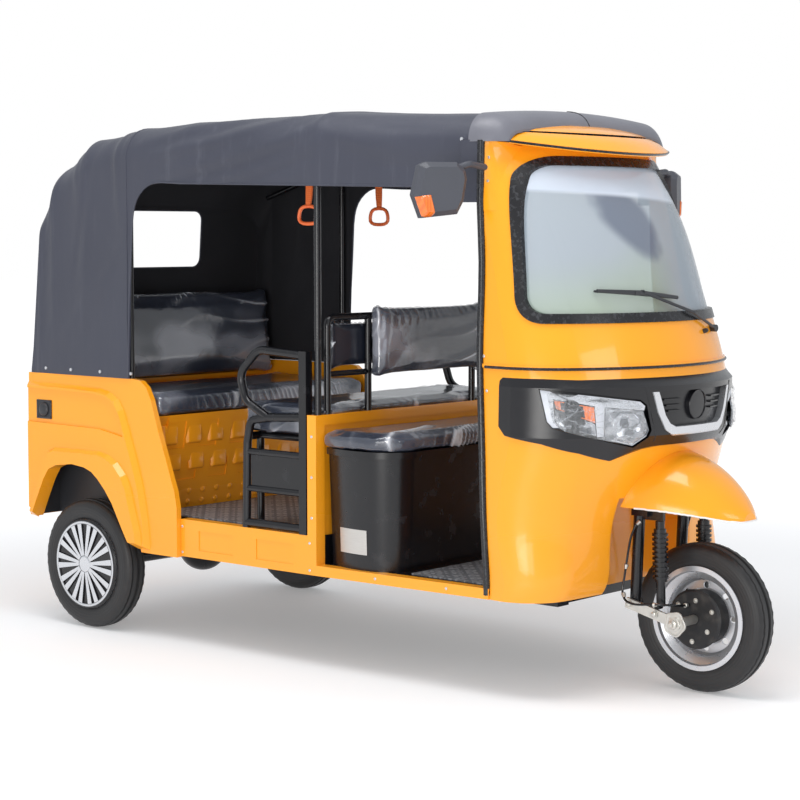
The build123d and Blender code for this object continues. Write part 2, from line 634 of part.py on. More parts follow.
# ---------------------------------------------------------------- guards
def make_guards():
    y = -565.0
    arc = [(-20, y, 1075), (-250, y, 1088), (-345, y, 1000), (-312, y, 905), (-200, y, 850)]
    guard = bent_tube(arc, [70, 60, 60], 15)
    guard += rod((-22, y, 862), (-245, y, 850), 15)
    guard += bent_tube([(-200, y, 852), (-290, y, 838), (-306, y, 760), (-313, y, SILL_Z[1] + FIT)],
                       [35, 20], 15)
    guard += block((-41, -7), (y - 17, y + 15), (SILL_Z[1] + FIT, 1090))
    guard += rod((-313, y, 476), (-24, y, 476), 15)
    guard += block((-284, -41), (y - 3, y + 3), (598, 728))
    guard += rod((-313, y, 598), (-24, y, 598), 12)
    guard += rod((-313, y, 728), (-24, y, 728), 12)
    save("side_guards", both(guard))


# ---------------------------------------------------------------- wheels
def tyre_face():
    """Half section of a tyre, with its shoulders, side walls and beads."""
    half, r = TYRE_W / 2, TYRE_R
    bead = RIM_R - 8
    flat = 36.0
    shoulder = half - 3
    return make_face([
        Line((-flat, r - 6), (-shoulder, r - 30)),
        ThreePointArc((-shoulder, r - 30), (-half, (r + bead) / 2), (-34, bead)),
        Line((-34, bead), (34, bead)),
        ThreePointArc((34, bead), (half, (r + bead) / 2), (shoulder, r - 30)),
        Line((shoulder, r - 30), (flat, r - 6)),
        ThreePointArc((flat, r - 6), (0, r), (-flat, r - 6)),
    ])


def rim_face():
    """Half section of a steel rim with its well, flanges and dished disc."""
    r = RIM_R - 8 - FIT
    points = [(-42, r + 12), (-46, r + 12), (-46, r - 4), (-36, r - 8), (-22, r - 30), (6, r - 32),
              (12, 120), (8, 96), (8, HUB_R), (14, HUB_R), (14, 96), (18, 120), (14, r - 32),
              (22, r - 30), (36, r - 8), (46, r - 4), (46, r + 12), (42, r + 12), (40, r),
              (32, r - 2), (18, r - 24), (-18, r - 24), (-32, r - 2), (-40, r)]
    return points


def make_wheels():
    tyre = revolve(Plane.YZ * tyre_face(), axis=Axis.Y)
    rim_points = rim_face()
    drum = [(-48, STUB_R + FIT), (40, STUB_R + FIT), (40, 30), (14, 30), (14, HUB_R),
            (8, HUB_R), (8, 90), (-48, 90)]
    for name, x, y in (("front", FRONT_AXLE_X, 0.0), ("rear_right", REAR_AXLE_X, -REAR_TRACK_HALF),
                       ("rear_left", REAR_AXLE_X, REAR_TRACK_HALF)):
        save(f"{name}_tyre", Pos(x, y, TYRE_R) * tyre)
        turn = Rot(0, 0, 180) if y < 0 else Rot(0, 0, 0)
        rim = revolve(Plane.YZ * make_face(Polyline(*rim_points, close=True)), axis=Axis.Y)
        rim -= Rot(90, 0, 0) * PolarLocations(104, 8) * Cylinder(11, 60)
        rim -= tyre
        if name != "front":
            rim += lathe(drum, 0, 0, 0)
        save(f"{name}_rim", Pos(x, y, TYRE_R) * turn * rim)
    hub = [(-48, AXLE_R + FIT), (40, AXLE_R + FIT), (40, 30), (14, 30), (14, HUB_R - FIT),
           (8 - FIT, HUB_R - FIT), (8 - FIT, 90), (-48, 90)]
    save("front_hub", lathe(hub, FRONT_AXLE_X, 0, TYRE_R))
    cap = lathe(HUBCAP, 0, 0, 0)
    spoke = Pos(0, HUBCAP_FACE, 0) * Rot(90, 0, 0) * extrude(
        make_face(Polyline((32, -5), (152, -11), (152, 11), (32, 5), close=True)), 7)
    lone = Rot(0, SPOKE_GAP / 2, 0) * spoke + Rot(0, -SPOKE_GAP / 2, 0) * spoke
    for n in range(SPOKE_PAIRS):
        cap += Rot(0, 360.0 / SPOKE_PAIRS * n, 0) * lone
    for side, turn in (("right", flip), ("left", lambda shape: shape)):
        save(f"rear_{side}_hubcap", turn(Pos(REAR_AXLE_X, REAR_TRACK_HALF, TYRE_R) * cap))


# ---------------------------------------------------------------- front suspension
def make_fork():
    crown_x = steer_at(CROWN_Z)[0]
    fork = rod(steer_at(CROWN_Z - 8), steer_at(BAR_Z), STEM_R)
    fork += block((crown_x - 32, crown_x + 30), (-FORK_Y - 22, FORK_Y + 22),
                  (CROWN_Z - 14, CROWN_Z + 12))
    fork += both(block((crown_x - 10, SHOCK_TOP[0] + 16), (FORK_Y - 6, FORK_Y + 6),
                       (SHOCK_TOP[1] + 14, CROWN_Z + 12)))
    for low in (HEAD_Z[0] - 26, HEAD_Z[1] - 20):
        fork += rod(steer_at(low), steer_at(low + 14), STEM_R + 4 - FIT)
    fork -= rod((steer_at(BAR_Z)[0], -60, BAR_Z), (steer_at(BAR_Z)[0], 60, BAR_Z), BAR_R + FIT)
    x, z = LINK_PIVOT
    fork += both(rod((x, FORK_Y, z), (crown_x - 14, FORK_Y, CROWN_Z), LEG_R))
    fork += both(rod((x, FORK_Y - 26, z), (x, FORK_Y + 26, z), 13))
    save("fork", fork)

    run = FRONT_AXLE_X - x
    drop = TYRE_R - z
    tilt = -math.degrees(math.atan2(drop, run))
    arm = Pos(x + run / 2, FORK_Y + 32, z + drop / 2) * Rot(0, tilt, 0) * Box(
        math.hypot(run, drop) + 30, LINK_T - 4, 34)
    low_x, low_z = SHOCK_LOW
    top_x, top_z = SHOCK_TOP
    damper = rod((low_x, FORK_Y, low_z), (top_x, FORK_Y, top_z + 13), 15)
    damper += rod((low_x, FORK_Y, low_z + 80), (top_x, FORK_Y, top_z - 12), 20)
    for n in range(COILS):
        share = (90 + n * 15.5) / (top_z - low_z)
        x_at, z_at = low_x + share * (top_x - low_x), low_z + share * (top_z - low_z)
        damper += rod((x_at, FORK_Y, z_at), (x_at, FORK_Y, z_at + 8), 26)
    damper += rod((low_x, FORK_Y, low_z), (low_x, FORK_Y + 26.5, low_z), 9)
    save("front_shocks", both(damper))

    y_end = FORK_Y + 48
    axle = rod((FRONT_AXLE_X, -y_end, TYRE_R), (FRONT_AXLE_X, y_end, TYRE_R), AXLE_R)
    axle += rod((FRONT_AXLE_X, -y_end + 22, TYRE_R), (FRONT_AXLE_X, -y_end + 36, TYRE_R), 16)
    axle += rod((FRONT_AXLE_X, y_end - 36, TYRE_R), (FRONT_AXLE_X, y_end - 22, TYRE_R), 16)
    axle += rod((FRONT_AXLE_X, 46, TYRE_R), (FRONT_AXLE_X, FORK_Y + 26, TYRE_R), 15)
    axle += rod((FRONT_AXLE_X, -62, TYRE_R), (FRONT_AXLE_X, -FORK_Y - 26, TYRE_R), 15)
    save("front_links", axle + both(arm))
    plate = [(-62, AXLE_R + FIT), (-54, AXLE_R + FIT), (-54, 88), (-50, 96), (-56, 98), (-62, 90)]
    save("brake_plate", lathe(plate, FRONT_AXLE_X, 0, TYRE_R)
         - rod((FRONT_AXLE_X, -63, TYRE_R), (FRONT_AXLE_X, -53, TYRE_R), 15 + FIT))

    bar_x = steer_at(BAR_Z)[0]
    ends = bar_x - BAR_SWEEP
    bar = bent_tube([(ends, -BAR_HALF, BAR_Z), (bar_x, -120, BAR_Z), (bar_x, 120, BAR_Z),
                     (ends, BAR_HALF, BAR_Z)], 50, BAR_R)
    save("handlebar", bar)
    direction = Vector(ends - bar_x, BAR_HALF - 120, 0).normalized()
    tip = Vector(ends, BAR_HALF, BAR_Z)
    inner_end = tip - direction * 110
    grip = rod(tuple(tip + direction * 4), tuple(inner_end), GRIP_R)
    grip -= rod(tuple(tip + direction * 1), tuple(inner_end - direction), BAR_R + FIT)
    save("handlebar_grips", both(grip))


# ---------------------------------------------------------------- rear axle
def make_rear_axle():
    x, z = REAR_AXLE_X, TYRE_R
    reach = REAR_TRACK_HALF - 58
    axle = rod((x, -reach, z), (x, reach, z), 28)
    axle += rod((x, -REAR_TRACK_HALF - 36, z), (x, REAR_TRACK_HALF + 36, z), STUB_R)
    axle += Pos(x, 0, z) * Sphere(98)
    axle += rod((x, 0, z), (x + 150, 0, z), 38)
    for radius, start, end in ((94, reach - 8, reach),):
        axle += both(rod((x, start, z), (x, end, z), radius))
    save("rear_axle", axle)
    span = 325.0
    top = z + 28 + FIT
    leaf = make_face([ThreePointArc((x - span, top + 40), (x, top), (x + span, top + 40)),
                      Line((x + span, top + 40), (x + span, top + 50)),
                      ThreePointArc((x + span, top + 50), (x, top + 24), (x - span, top + 50)),
                      Line((x - span, top + 50), (x - span, top + 40))])
    spring = side_prism(leaf, (405, 455))
    for end in (-span, span):
        spring += rod((x + end, 405, top + 45), (x + end, 455, top + 45), 18)
        spring += rod((x + end, 331, top + 45), (x + end, 475, top + 45), 9)
    save("leaf_springs", both(spring))
    save("propeller_shaft", rod((x + 150 + FIT, 0, z + 1), (80 - FIT, 0, z + 13), 18))


def make_engine():
    block_ = block((80, 330), (-180, 180), (235, 690))
    for start in (100, 280):
        block_ += block((start, start + 30), (-RAIL_Y[0] + FIT, RAIL_Y[0] - FIT), (298, 324))
    save("engine_block", block_)


# ---------------------------------------------------------------- roof front
def visor_solid(inset=0.0):
    """The outside of the visor above the windscreen, moved inwards by inset."""
    rows = [(row[0] - inset,) + row[1:] for row in VISOR_SECTIONS]
    return loft([cab_outline(row, inset) for row in rows], ruled=True)


def cap_solid(inset=0.0):
    """The arched cap over the canopy's front edge, moved inwards by inset."""
    faces = []
    for x, half, edge, crown, radius in CAP_SECTIONS:
        faces.append(canopy_section((x, half, edge, crown, radius), inset))
    return loft(faces)


def make_roof():
    x, front = 640.0 + FIT, (1200, 2000)
    ahead = block((x, 1200), (-900, 900), (1700, 2000))
    visor = (visor_solid() - visor_solid(5.0)) & ahead
    visor -= cab_solid(-FIT)
    lip = (visor_solid(-4.0) - visor_solid(-FIT)) & level_slab(1772, 1780)
    save("roof_lip", lip & block((690, 1200), (-900, 900), (1700, 2000)))
    cap = cap_solid() - cap_solid(CAP_WALL) - visor_solid(-FIT) - cab_solid(-FIT)
    save("roof_cap", cap & block((x, 1200), (-900, 900), (1786, 2000)))
    save("roof_visor", visor)


def cab_front_x(y, z):
    """How far forward the cab's surface stands at a width and height."""
    inside = Line((800, y, z), (1400, y, z)) & cab_solid()
    return inside.bounding_box().max.X


def mirror_housing():
    """The right mirror, turned towards the driver, with a sloping rim round its back."""
    turn = math.radians(MIRROR_TURN)
    across = (math.sin(turn), math.cos(turn), 0)
    plane = Plane(origin=MIRROR_POINT, x_dir=across, z_dir=(math.cos(turn), -math.sin(turn), 0))
    face = make_face(Polyline(*MIRROR_EDGE, close=True))
    body = extrude(plane * face, -30)
    back = loft([plane * face, plane * Pos(0, 0, 20) * offset(face, -16, kind=Kind.INTERSECTION)])
    glass = extrude(plane * Pos(0, 0, -34) * offset(face, -10, kind=Kind.INTERSECTION), 10)
    return body + back + glass


def make_trim():
    deep = cab_solid(CAB_WALL + FIT)
    shelf = deep & block((960, 1300), (-900, 900), (1085, 1150))
    save("dashboard", shelf)

    arm = bent_tube([(690, -450, 1700), (690, -560, 1712), (668, -625, 1690)], [30], 11)
    save("mirrors", both(mirror_housing() + arm - cab_solid(-FIT)))

    def on_glass(y, z, lift):
        return (cab_front_x(y, z) + lift, y, z)
    pivot = on_glass(*WIPER_PIVOT, -4)
    joint = on_glass(*WIPER_JOINT, 20)
    wiper = rod(pivot, on_glass(*WIPER_PIVOT, 24), 12)
    bend = on_glass(*WIPER_BEND, 22)
    wiper += rod(on_glass(*WIPER_PIVOT, 18), bend, 5) + rod(bend, joint, 5)
    ends = [on_glass(y, z, 12) for y, z in WIPER_BLADE]
    middle = on_glass(*WIPER_JOINT, 12)
    for end in ends:
        wiper += rod(middle, end, 6)
    wiper += rod(middle, joint, 8)
    wiper -= cab_solid(-FIT)
    save("wiper", wiper)

    straps = Part()
    for x, y in STRAP_AT:
        straps += block((x - 12, x + 12), (y - 2, y + 2), (1570, 1790 - FIT))
        loop = make_face(Polyline((-56, -38), (56, -38), (44, 36), (-44, 36), close=True))
        loop = fillet(loop.vertices(), 26)
        ring = loop - offset(loop, -11)
        straps += Pos(x, y + 5, 1562) * Rot(90, 0, 0) * extrude(ring, 10)
    save("hang_straps", straps)
    lamp = block((BODY_REAR_X - 9, BODY_REAR_X + TAIL_LAMP_SUNK), *TAIL_LAMP)
    save("tail_lamps", both(fillet(lamp.faces().sort_by(Axis.X)[0].edges(), 5)))


for build in (make_floor, make_rear_body, make_canopy, make_seats, make_guards, make_wheels,
              make_fork, make_rear_axle, make_engine, make_roof, make_trim):
    build()

os.makedirs("parts", exist_ok=True)
for name, shape in parts.items():
    export_step(shape, f"parts/{name}.step")
    print(name, round(shape.volume / 1e6, 2), shape.bounding_box())
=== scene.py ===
"""Studio view of a passenger auto rickshaw: its surfaces, soft goods and small trim."""
import math

import bmesh
import bpy
from mathutils import Matrix, Vector, noise
from mathutils.bvhtree import BVHTree


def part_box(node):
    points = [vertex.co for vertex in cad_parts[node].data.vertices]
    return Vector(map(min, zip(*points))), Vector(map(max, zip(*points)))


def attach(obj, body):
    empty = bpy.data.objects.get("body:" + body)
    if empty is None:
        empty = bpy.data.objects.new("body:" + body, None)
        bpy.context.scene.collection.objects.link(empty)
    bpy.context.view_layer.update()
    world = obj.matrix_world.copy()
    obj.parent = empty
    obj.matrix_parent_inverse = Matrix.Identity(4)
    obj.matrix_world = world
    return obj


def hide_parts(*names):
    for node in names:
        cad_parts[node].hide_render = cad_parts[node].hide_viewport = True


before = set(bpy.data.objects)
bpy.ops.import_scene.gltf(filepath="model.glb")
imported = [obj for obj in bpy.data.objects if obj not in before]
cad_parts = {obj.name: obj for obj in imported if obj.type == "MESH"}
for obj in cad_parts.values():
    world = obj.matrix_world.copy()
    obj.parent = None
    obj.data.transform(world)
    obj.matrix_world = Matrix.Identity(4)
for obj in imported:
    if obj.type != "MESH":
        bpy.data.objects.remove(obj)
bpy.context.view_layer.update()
bpy.ops.object.select_all(action="DESELECT")

# ---------------------------------------------------------------- places on the vehicle, in metres
TYRE_R = 0.245
FRONT_AXLE_X = 1.230
FRONT_AXLE = Vector((FRONT_AXLE_X, 0.0, TYRE_R))
REAR_AXLE_X = -1.130
REAR_TRACK_HALF = 0.563
HUBCAP_FACE_Y = 0.6168
CANOPY_LOW = 0.9585
FORWARD = Vector((1, 0, 0))


# ---------------------------------------------------------------- camera, floor and light
CAMERA_AT = (4.8243, -5.6729, 1.4914)
CAMERA_DOWN, CAMERA_HEADING = 4.62, 40.87       # degrees below level, and round from facing +Y
CAMERA_LENS, CAMERA_SENSOR = 92.62, 36.0        # mm
ROOM_COLOUR, ROOM_STRENGTH = (0.94, 0.97, 1.0, 1), 0.68
PAPER_WHITE = (1, 1, 1, 1)
SOFTBOXES = (       # name, place, what it faces, size, watts, colour
    ("overhead", (0.6, -1.4, 5.0), (0, 0, 0.7), (3.4, 1.7), 112, (1, 1, 1)),
    ("doorway_side", (2.6, -6.6, 1.5), (-0.5, 0, 0.7), (4.4, 1.8), 84, (1.0, 0.99, 0.97)),
    ("cabin_fill", (1.7, -4.3, 0.95), (-1.0, 0, 0.66), (1.5, 1.1), 22, (1.0, 0.98, 0.95)),
    ("nose_side", (7.0, -0.6, 3.0), (0.6, 0, 0.9), (2.2, 1.6), 40, (1, 1, 1)),
)


def place_camera():
    data = bpy.data.cameras.new("camera")
    data.sensor_width = CAMERA_SENSOR
    data.lens = CAMERA_LENS
    camera = bpy.data.objects.new("camera", data)
    camera.location = CAMERA_AT
    camera.rotation_euler = (math.radians(90 - CAMERA_DOWN), 0, math.radians(CAMERA_HEADING))
    bpy.context.scene.collection.objects.link(camera)
    bpy.context.scene.camera = camera


def add_softbox(name, location, aim, size, power, colour):
    data = bpy.data.lights.new(name, "AREA")
    data.shape = "RECTANGLE"
    data.size, data.size_y = size
    data.energy = power
    data.color = colour
    lamp = bpy.data.objects.new(name, data)
    lamp.location = location
    lamp.rotation_euler = (Vector(aim) - Vector(location)).to_track_quat("-Z", "Y").to_euler()
    bpy.context.scene.collection.objects.link(lamp)


def light_studio():
    bpy.context.scene.view_settings.view_transform = "Standard"
    world = bpy.data.worlds.new("studio")
    world.use_nodes = True
    nodes, links = world.node_tree.nodes, world.node_tree.links
    room = nodes["Background"]
    room.inputs["Color"].default_value = ROOM_COLOUR
    room.inputs["Strength"].default_value = ROOM_STRENGTH
    paper = nodes.new("ShaderNodeBackground")
    paper.inputs["Color"].default_value = PAPER_WHITE
    path, share = nodes.new("ShaderNodeLightPath"), nodes.new("ShaderNodeMixShader")
    links.new(path.outputs["Is Camera Ray"], share.inputs[0])
    links.new(room.outputs[0], share.inputs[1])
    links.new(paper.outputs[0], share.inputs[2])
    links.new(share.outputs[0], nodes["World Output"].inputs["Surface"])
    bpy.context.scene.world = world
    for softbox in SOFTBOXES:
        add_softbox(*softbox)


def lay_floor():
    """White paper, lit a little from below further out, so that it runs into the backdrop."""
    bpy.ops.mesh.primitive_circle_add(vertices=64, radius=60, fill_type="NGON", location=(0, 0, 0))
    floor = bpy.context.object
    floor.name = "studio_floor"
    surface = Surface("studio_floor", (0.82, 0.82, 0.83), 0.75, Emission_Strength=1.0)
    x, y, _ = surface.axes()
    reach = (x * x + y * y) ** 0.5
    surface.feed("Base Color", surface.blend((0.82, 0.82, 0.83), (0.02, 0.02, 0.02), reach.step(2.6, 7.0)))
    surface.feed("Emission Color", surface.blend((0.22, 0.22, 0.22), (1, 1, 1), reach.step(2.4, 6.0)))
    floor.data.materials.append(surface.material)


# ---------------------------------------------------------------- material nodes
class Wire:
    """A value on its way through a surface's nodes, so that shader maths reads as arithmetic."""

    def __init__(self, surface, socket):
        self.surface, self.socket = surface, socket

    def math(self, operation, *values):
        return self.surface.node("ShaderNodeMath", {"operation": operation},
                                 dict(enumerate(values)))

    def __add__(self, other):
        return self.math("ADD", self, other)

    __radd__ = __add__

    def __sub__(self, other):
        return self.math("SUBTRACT", self, other)

    def __rsub__(self, other):
        return self.math("SUBTRACT", other, self)

    def __mul__(self, other):
        return self.math("MULTIPLY", self, other)

    __rmul__ = __mul__

    def __truediv__(self, other):
        return self.math("DIVIDE", self, other)

    def __pow__(self, other):
        return self.math("POWER", self, other)

    def __abs__(self):
        return self.math("ABSOLUTE", self)

    def wave(self):
        """A sine of this value, moved to lie between 0 and 1."""
        return self.math("SINE", self) * 0.5 + 0.5

    def floor(self):
        return self.math("FLOOR", self)

    def fold(self, period):
        """Rises and falls between 0 and half the period."""
        return self.math("PINGPONG", self, period / 2)

    def step(self, low, high):
        """0 below low and 1 above high, smooth between."""
        return self.surface.node("ShaderNodeMapRange", {"interpolation_type": "SMOOTHSTEP"},
                                 {"Value": self, "From Min": low, "From Max": high})

    def part(self, index):
        """Another output of the same node."""
        return Wire(self.surface, self.socket.node.outputs[index])


class Surface:
    """One material: a Principled shader and the nodes that feed it."""

    def __init__(self, name, colour, roughness, metallic=0.0, **constants):
        self.material = bpy.data.materials.new(name)
        self.material.use_nodes = True
        self.tree = self.material.node_tree
        self.shader = self.tree.nodes["Principled BSDF"]
        self.shader.inputs["Base Color"].default_value = (*colour, 1)
        self.shader.inputs["Roughness"].default_value = roughness
        self.shader.inputs["Metallic"].default_value = metallic
        for key, value in constants.items():
            self.shader.inputs[key.replace("_", " ")].default_value = value
        self.normal = None

    def node(self, kind, settings=None, values=None, output=0):
        made = self.tree.nodes.new(kind)
        for key, value in (settings or {}).items():
            if key == "stops":
                ramp = made.color_ramp.elements
                while len(ramp) < len(value):
                    ramp.new(0.5)
                for element, (position, colour) in zip(ramp, value):
                    element.position, element.color = position, (*colour, 1)
            else:
                setattr(made, key, value)
        for key, value in (values or {}).items():
            if isinstance(value, Wire):
                self.tree.links.new(value.socket, made.inputs[key])
            else:
                made.inputs[key].default_value = value
        return Wire(self, made.outputs[output])

    def place(self, scale=(1, 1, 1), centre=(0, 0, 0), turn=(0, 0, 0)):
        """Object coordinates about a centre, in metres, stretched by scale."""
        here = self.node("ShaderNodeTexCoord", output=3)
        return self.node("ShaderNodeMapping", {"vector_type": "POINT"}, {
            "Vector": here, "Scale": scale, "Rotation": turn,
            "Location": [-c * s for c, s in zip(centre, scale)]})

    def axes(self, place=None):
        split = self.node("ShaderNodeSeparateXYZ", values={0: place or self.place()})
        return split, split.part(1), split.part(2)

    def grain(self, scale, detail=3.0, rough=0.55, stretch=(1, 1, 1)):
        """Noise between 0 and 1, of about scale grains to the metre."""
        return self.node("ShaderNodeTexNoise", values={
            "Vector": self.place(stretch), "Scale": scale, "Detail": detail, "Roughness": rough})

    def cells(self, scale, feature="F1", stretch=(1, 1, 1)):
        return self.node("ShaderNodeTexVoronoi", {"feature": feature},
                         {"Vector": self.place(stretch), "Scale": scale})

    def blend(self, first, second, share):
        """One colour turning into another as share goes from 0 to 1."""
        values = {0: share}
        for index, colour in ((6, first), (7, second)):
            values[index] = colour if isinstance(colour, Wire) else (*colour, 1)
        return self.node("ShaderNodeMix", {"data_type": "RGBA"}, values, output=2)

    def feed(self, name, wire):
        self.tree.links.new(wire.socket, self.shader.inputs[name])

    def tint(self, first, second, share):
        self.feed("Base Color", self.blend(first, second, share))

    def see_through(self):
        self.material.surface_render_method = "BLENDED"

    def bump(self, height, depth, strength=1.0):
        """Raises the surface by depth metres where height is 1, over any bump before it."""
        values = {"Height": height, "Distance": depth, "Strength": strength}
        if self.normal:
            values["Normal"] = self.normal
        self.normal = self.node("ShaderNodeBump", values=values)
        self.feed("Normal", self.normal)


# ---------------------------------------------------------------- finishes
def body_paint():
    """Two-pack yellow enamel with a little dust low down and fine orange peel."""
    s = Surface("body_paint", (1.0, 0.40, 0.022), 0.26, Coat_Weight=0.5, Coat_Roughness=0.05,
                Specular_IOR_Level=0.3)
    _, _, height = s.axes()
    drift = s.grain(1.6, 4.0)
    dust = (s.grain(9.0, 5.0) * 0.7 + 0.3) * (1 - height.step(0.30, 0.62))
    tone = s.blend((1.0, 0.36, 0.010), (1.0, 0.40, 0.016), drift)
    s.tint(tone, (0.86, 0.36, 0.05), dust * 0.35)
    s.feed("Roughness", 0.20 + drift * 0.08 + dust * 0.25)
    s.bump(s.grain(420.0, 2.0), 0.00012, 0.35)
    return s.material


def powder_coat():
    """Black powder coat on frames and guards, rubbed greyer in patches."""
    s = Surface("powder_coat", (0.007, 0.007, 0.009), 0.24)
    rub = s.grain(14.0, 5.0).step(0.55, 0.75)
    s.tint((0.006, 0.006, 0.008), (0.016, 0.016, 0.019), rub)
    s.feed("Roughness", 0.18 + s.grain(60.0) * 0.12 + rub * 0.12)
    s.bump(s.grain(900.0, 2.0), 0.0002, 0.5)
    return s.material


def moulded_black(name="moulded_black", colour=(0.024, 0.025, 0.029), rough=0.42):
    """Grained black plastic with lighter patches: the faint haze that handling leaves, and on the gloss mask
    also a painted reflection standing in for its greyer, highlighted top.
    """
    s = Surface(name, colour, rough)
    haze = s.grain(6.0, 4.0)
    # lighter patches: handling haze, and on the gloss mask a painted reflection
    s.tint(colour, tuple(c * 1.9 for c in colour), haze * 0.5)
    s.feed("Roughness", rough - 0.06 + haze * 0.16)
    s.bump(s.cells(1400.0), 0.00015, 0.6)
    return s.material


def cap_plastic():
    """Slate grey moulding over the front of the roof."""
    s = Surface("cap_plastic", (0.15, 0.152, 0.18), 0.34)
    haze = s.grain(5.0, 4.0)
    s.tint((0.115, 0.117, 0.14), (0.20, 0.202, 0.235), haze)
    s.feed("Roughness", 0.3 + haze * 0.18)
    s.bump(s.cells(1100.0), 0.0002, 0.6)
    return s.material


def bright_trim():
    """Satin silver paint over plastic."""
    s = Surface("bright_trim", (0.62, 0.63, 0.66), 0.28, 0.75)
    flake = s.cells(2600.0).part(1)
    s.feed("Roughness", 0.22 + s.grain(30.0) * 0.14)
    s.tint((0.56, 0.57, 0.60), (0.74, 0.75, 0.78), flake)
    return s.material


def zinc():
    """Zinc-plated steel: patchy, a little yellowed, with dull spots."""
    s = Surface("zinc", (0.6, 0.59, 0.55), 0.34, 0.9)
    patch = s.grain(38.0, 5.0)
    spot = s.cells(160.0).step(0.05, 0.3)
    s.tint((0.50, 0.49, 0.46), (0.74, 0.72, 0.67), patch)
    s.feed("Roughness", 0.26 + patch * 0.2 + (1 - spot) * 0.15)
    s.bump(s.grain(240.0), 0.0003, 0.5)
    return s.material


def cast_metal():
    """Sand-cast housings under black paint, dusty on top."""
    s = Surface("cast_metal", (0.03, 0.03, 0.032), 0.6, 0.3)
    dust = s.grain(18.0, 5.0).step(0.45, 0.8)
    s.tint((0.018, 0.018, 0.02), (0.075, 0.07, 0.065), dust)
    s.feed("Roughness", 0.5 + dust * 0.25)
    s.bump(s.grain(320.0, 5.0), 0.0008, 0.8)
    return s.material


def seat_vinyl():
    """Navy-black leathercloth with a pebble grain."""
    s = Surface("seat_vinyl", (0.012, 0.016, 0.03), 0.26, Coat_Weight=0.5, Coat_Roughness=0.12)
    pebble = s.cells(420.0, "SMOOTH_F1")
    shade = s.grain(4.0, 4.0)
    s.tint((0.008, 0.011, 0.02), (0.02, 0.026, 0.045), shade)
    s.feed("Roughness", 0.26 + shade * 0.14 + pebble * 0.1)
    s.bump(pebble, 0.0006, 0.7)
    return s.material


def clear_film():
    """Thin dust film still over the seats: clear and shiny, with large pale patches of painted reflection and
    a painted highlight whitening its sharpest creases.
    """
    s = Surface("clear_film", (0.20, 0.22, 0.29), 0.07, IOR=2.3, Coat_Weight=1.0, Coat_Roughness=0.04)
    fine = (1 - abs(s.grain(46.0, 2.0, 0.5, (0.5, 1.0, 0.7)) - 0.5) * 2) ** 16
    haze = s.grain(2.6, 2.0).step(0.3, 0.8)
    crest = s.node("ShaderNodeAttribute", {"attribute_name": "crest"}, output=2)
    # large pale, more opaque patches: painted reflection of the bright room
    painted_reflection_patch = s.grain(3.4, 2.0, 0.5, (1.0, 0.8, 1.3)).step(0.46, 0.66)
    tone = s.blend((0.13, 0.15, 0.21), (0.62, 0.64, 0.74), painted_reflection_patch)
    # the sharpest creases tinted near white and more opaque: painted highlight
    s.tint(tone, (0.86, 0.88, 0.95), crest)
    s.feed("Alpha", 0.24 + haze * 0.08 + painted_reflection_patch * 0.24 + crest * 0.44)
    s.feed("Roughness", 0.05 + haze * 0.10)
    s.bump(s.grain(14.0, 2.0, 0.5, (0.6, 1.0, 0.8)), 0.006, 0.5)
    s.bump(fine, 0.0005, 0.3)
    s.see_through()
    return s.material


def lamp_wrap():
    """A scrap of the same film left over the lamps, seen mostly as white crease lines: partly the creased
    film's own whitening, partly painted highlight.
    """
    s = Surface("lamp_wrap", (0.80, 0.84, 0.90), 0.08, IOR=1.7)
    long_line = (1 - abs(s.grain(24.0, 3.0, 0.5, (1.0, 0.6, 1.5)) - 0.5) * 2) ** 26
    short_line = (1 - abs(s.grain(70.0, 2.0, 0.5, (1.4, 0.7, 1.0)) - 0.5) * 2) ** 24
    # white, more opaque lines: partly the creased film's own whitening, partly painted highlight
    s.feed("Alpha", 0.03 + long_line * 0.34 + short_line * 0.10)
    s.bump(long_line, 0.002, 0.8)
    s.see_through()
    return s.material


def canopy_cloth():
    """Slate coated canvas: plain weave, seams of tone and faint rain streaks."""
    s = Surface("canopy_cloth", (0.066, 0.070, 0.096), 0.5, Sheen_Weight=0.06)
    x, y, z = s.axes()
    warp = (x * 2600.0).wave()
    weft = ((y + z) * 2600.0).wave()
    streak = s.grain(26.0, 4.0, 0.6, (1.0, 1.0, 0.06)).step(0.55, 0.8)
    patch = s.grain(2.3, 4.0)
    tone = s.blend((0.034, 0.037, 0.056), (0.050, 0.054, 0.080), patch)
    s.tint(tone, (0.15, 0.155, 0.19), streak * 0.22)
    s.feed("Roughness", 0.40 + patch * 0.12 + streak * 0.1)
    s.bump(s.grain(11.0, 3.0, 0.5, (1.0, 1.0, 0.4)), 0.004, 0.5)
    s.bump(warp * 0.5 + weft * 0.5, 0.0003, 0.6)
    return s.material


def lining_cloth():
    """The canopy's black inside."""
    s = Surface("lining_cloth", (0.008, 0.008, 0.01), 0.85)
    s.tint((0.010, 0.010, 0.013), (0.024, 0.024, 0.030), s.grain(5.0))
    s.bump(s.grain(300.0), 0.0004, 0.6)
    return s.material


def webbing():
    """Orange woven strap."""
    s = Surface("webbing", (0.9, 0.17, 0.03), 0.6)
    x, y, z = s.axes()
    rib = ((x + y) * 1500.0).wave()
    rung = (z * 900.0).wave()
    s.tint((0.62, 0.085, 0.012), (0.95, 0.22, 0.04), rib * 0.5 + rung * 0.5)
    s.feed("Roughness", 0.5 + rib * 0.2)
    s.bump(rib * rung, 0.0006, 0.8)
    return s.material


def hand_loop():
    """The straps' moulded orange loops."""
    s = Surface("hand_loop", (0.92, 0.16, 0.04), 0.35)
    s.tint((0.82, 0.10, 0.02), (0.98, 0.24, 0.07), s.grain(30.0))
    s.feed("Roughness", 0.28 + s.grain(90.0) * 0.2)
    return s.material


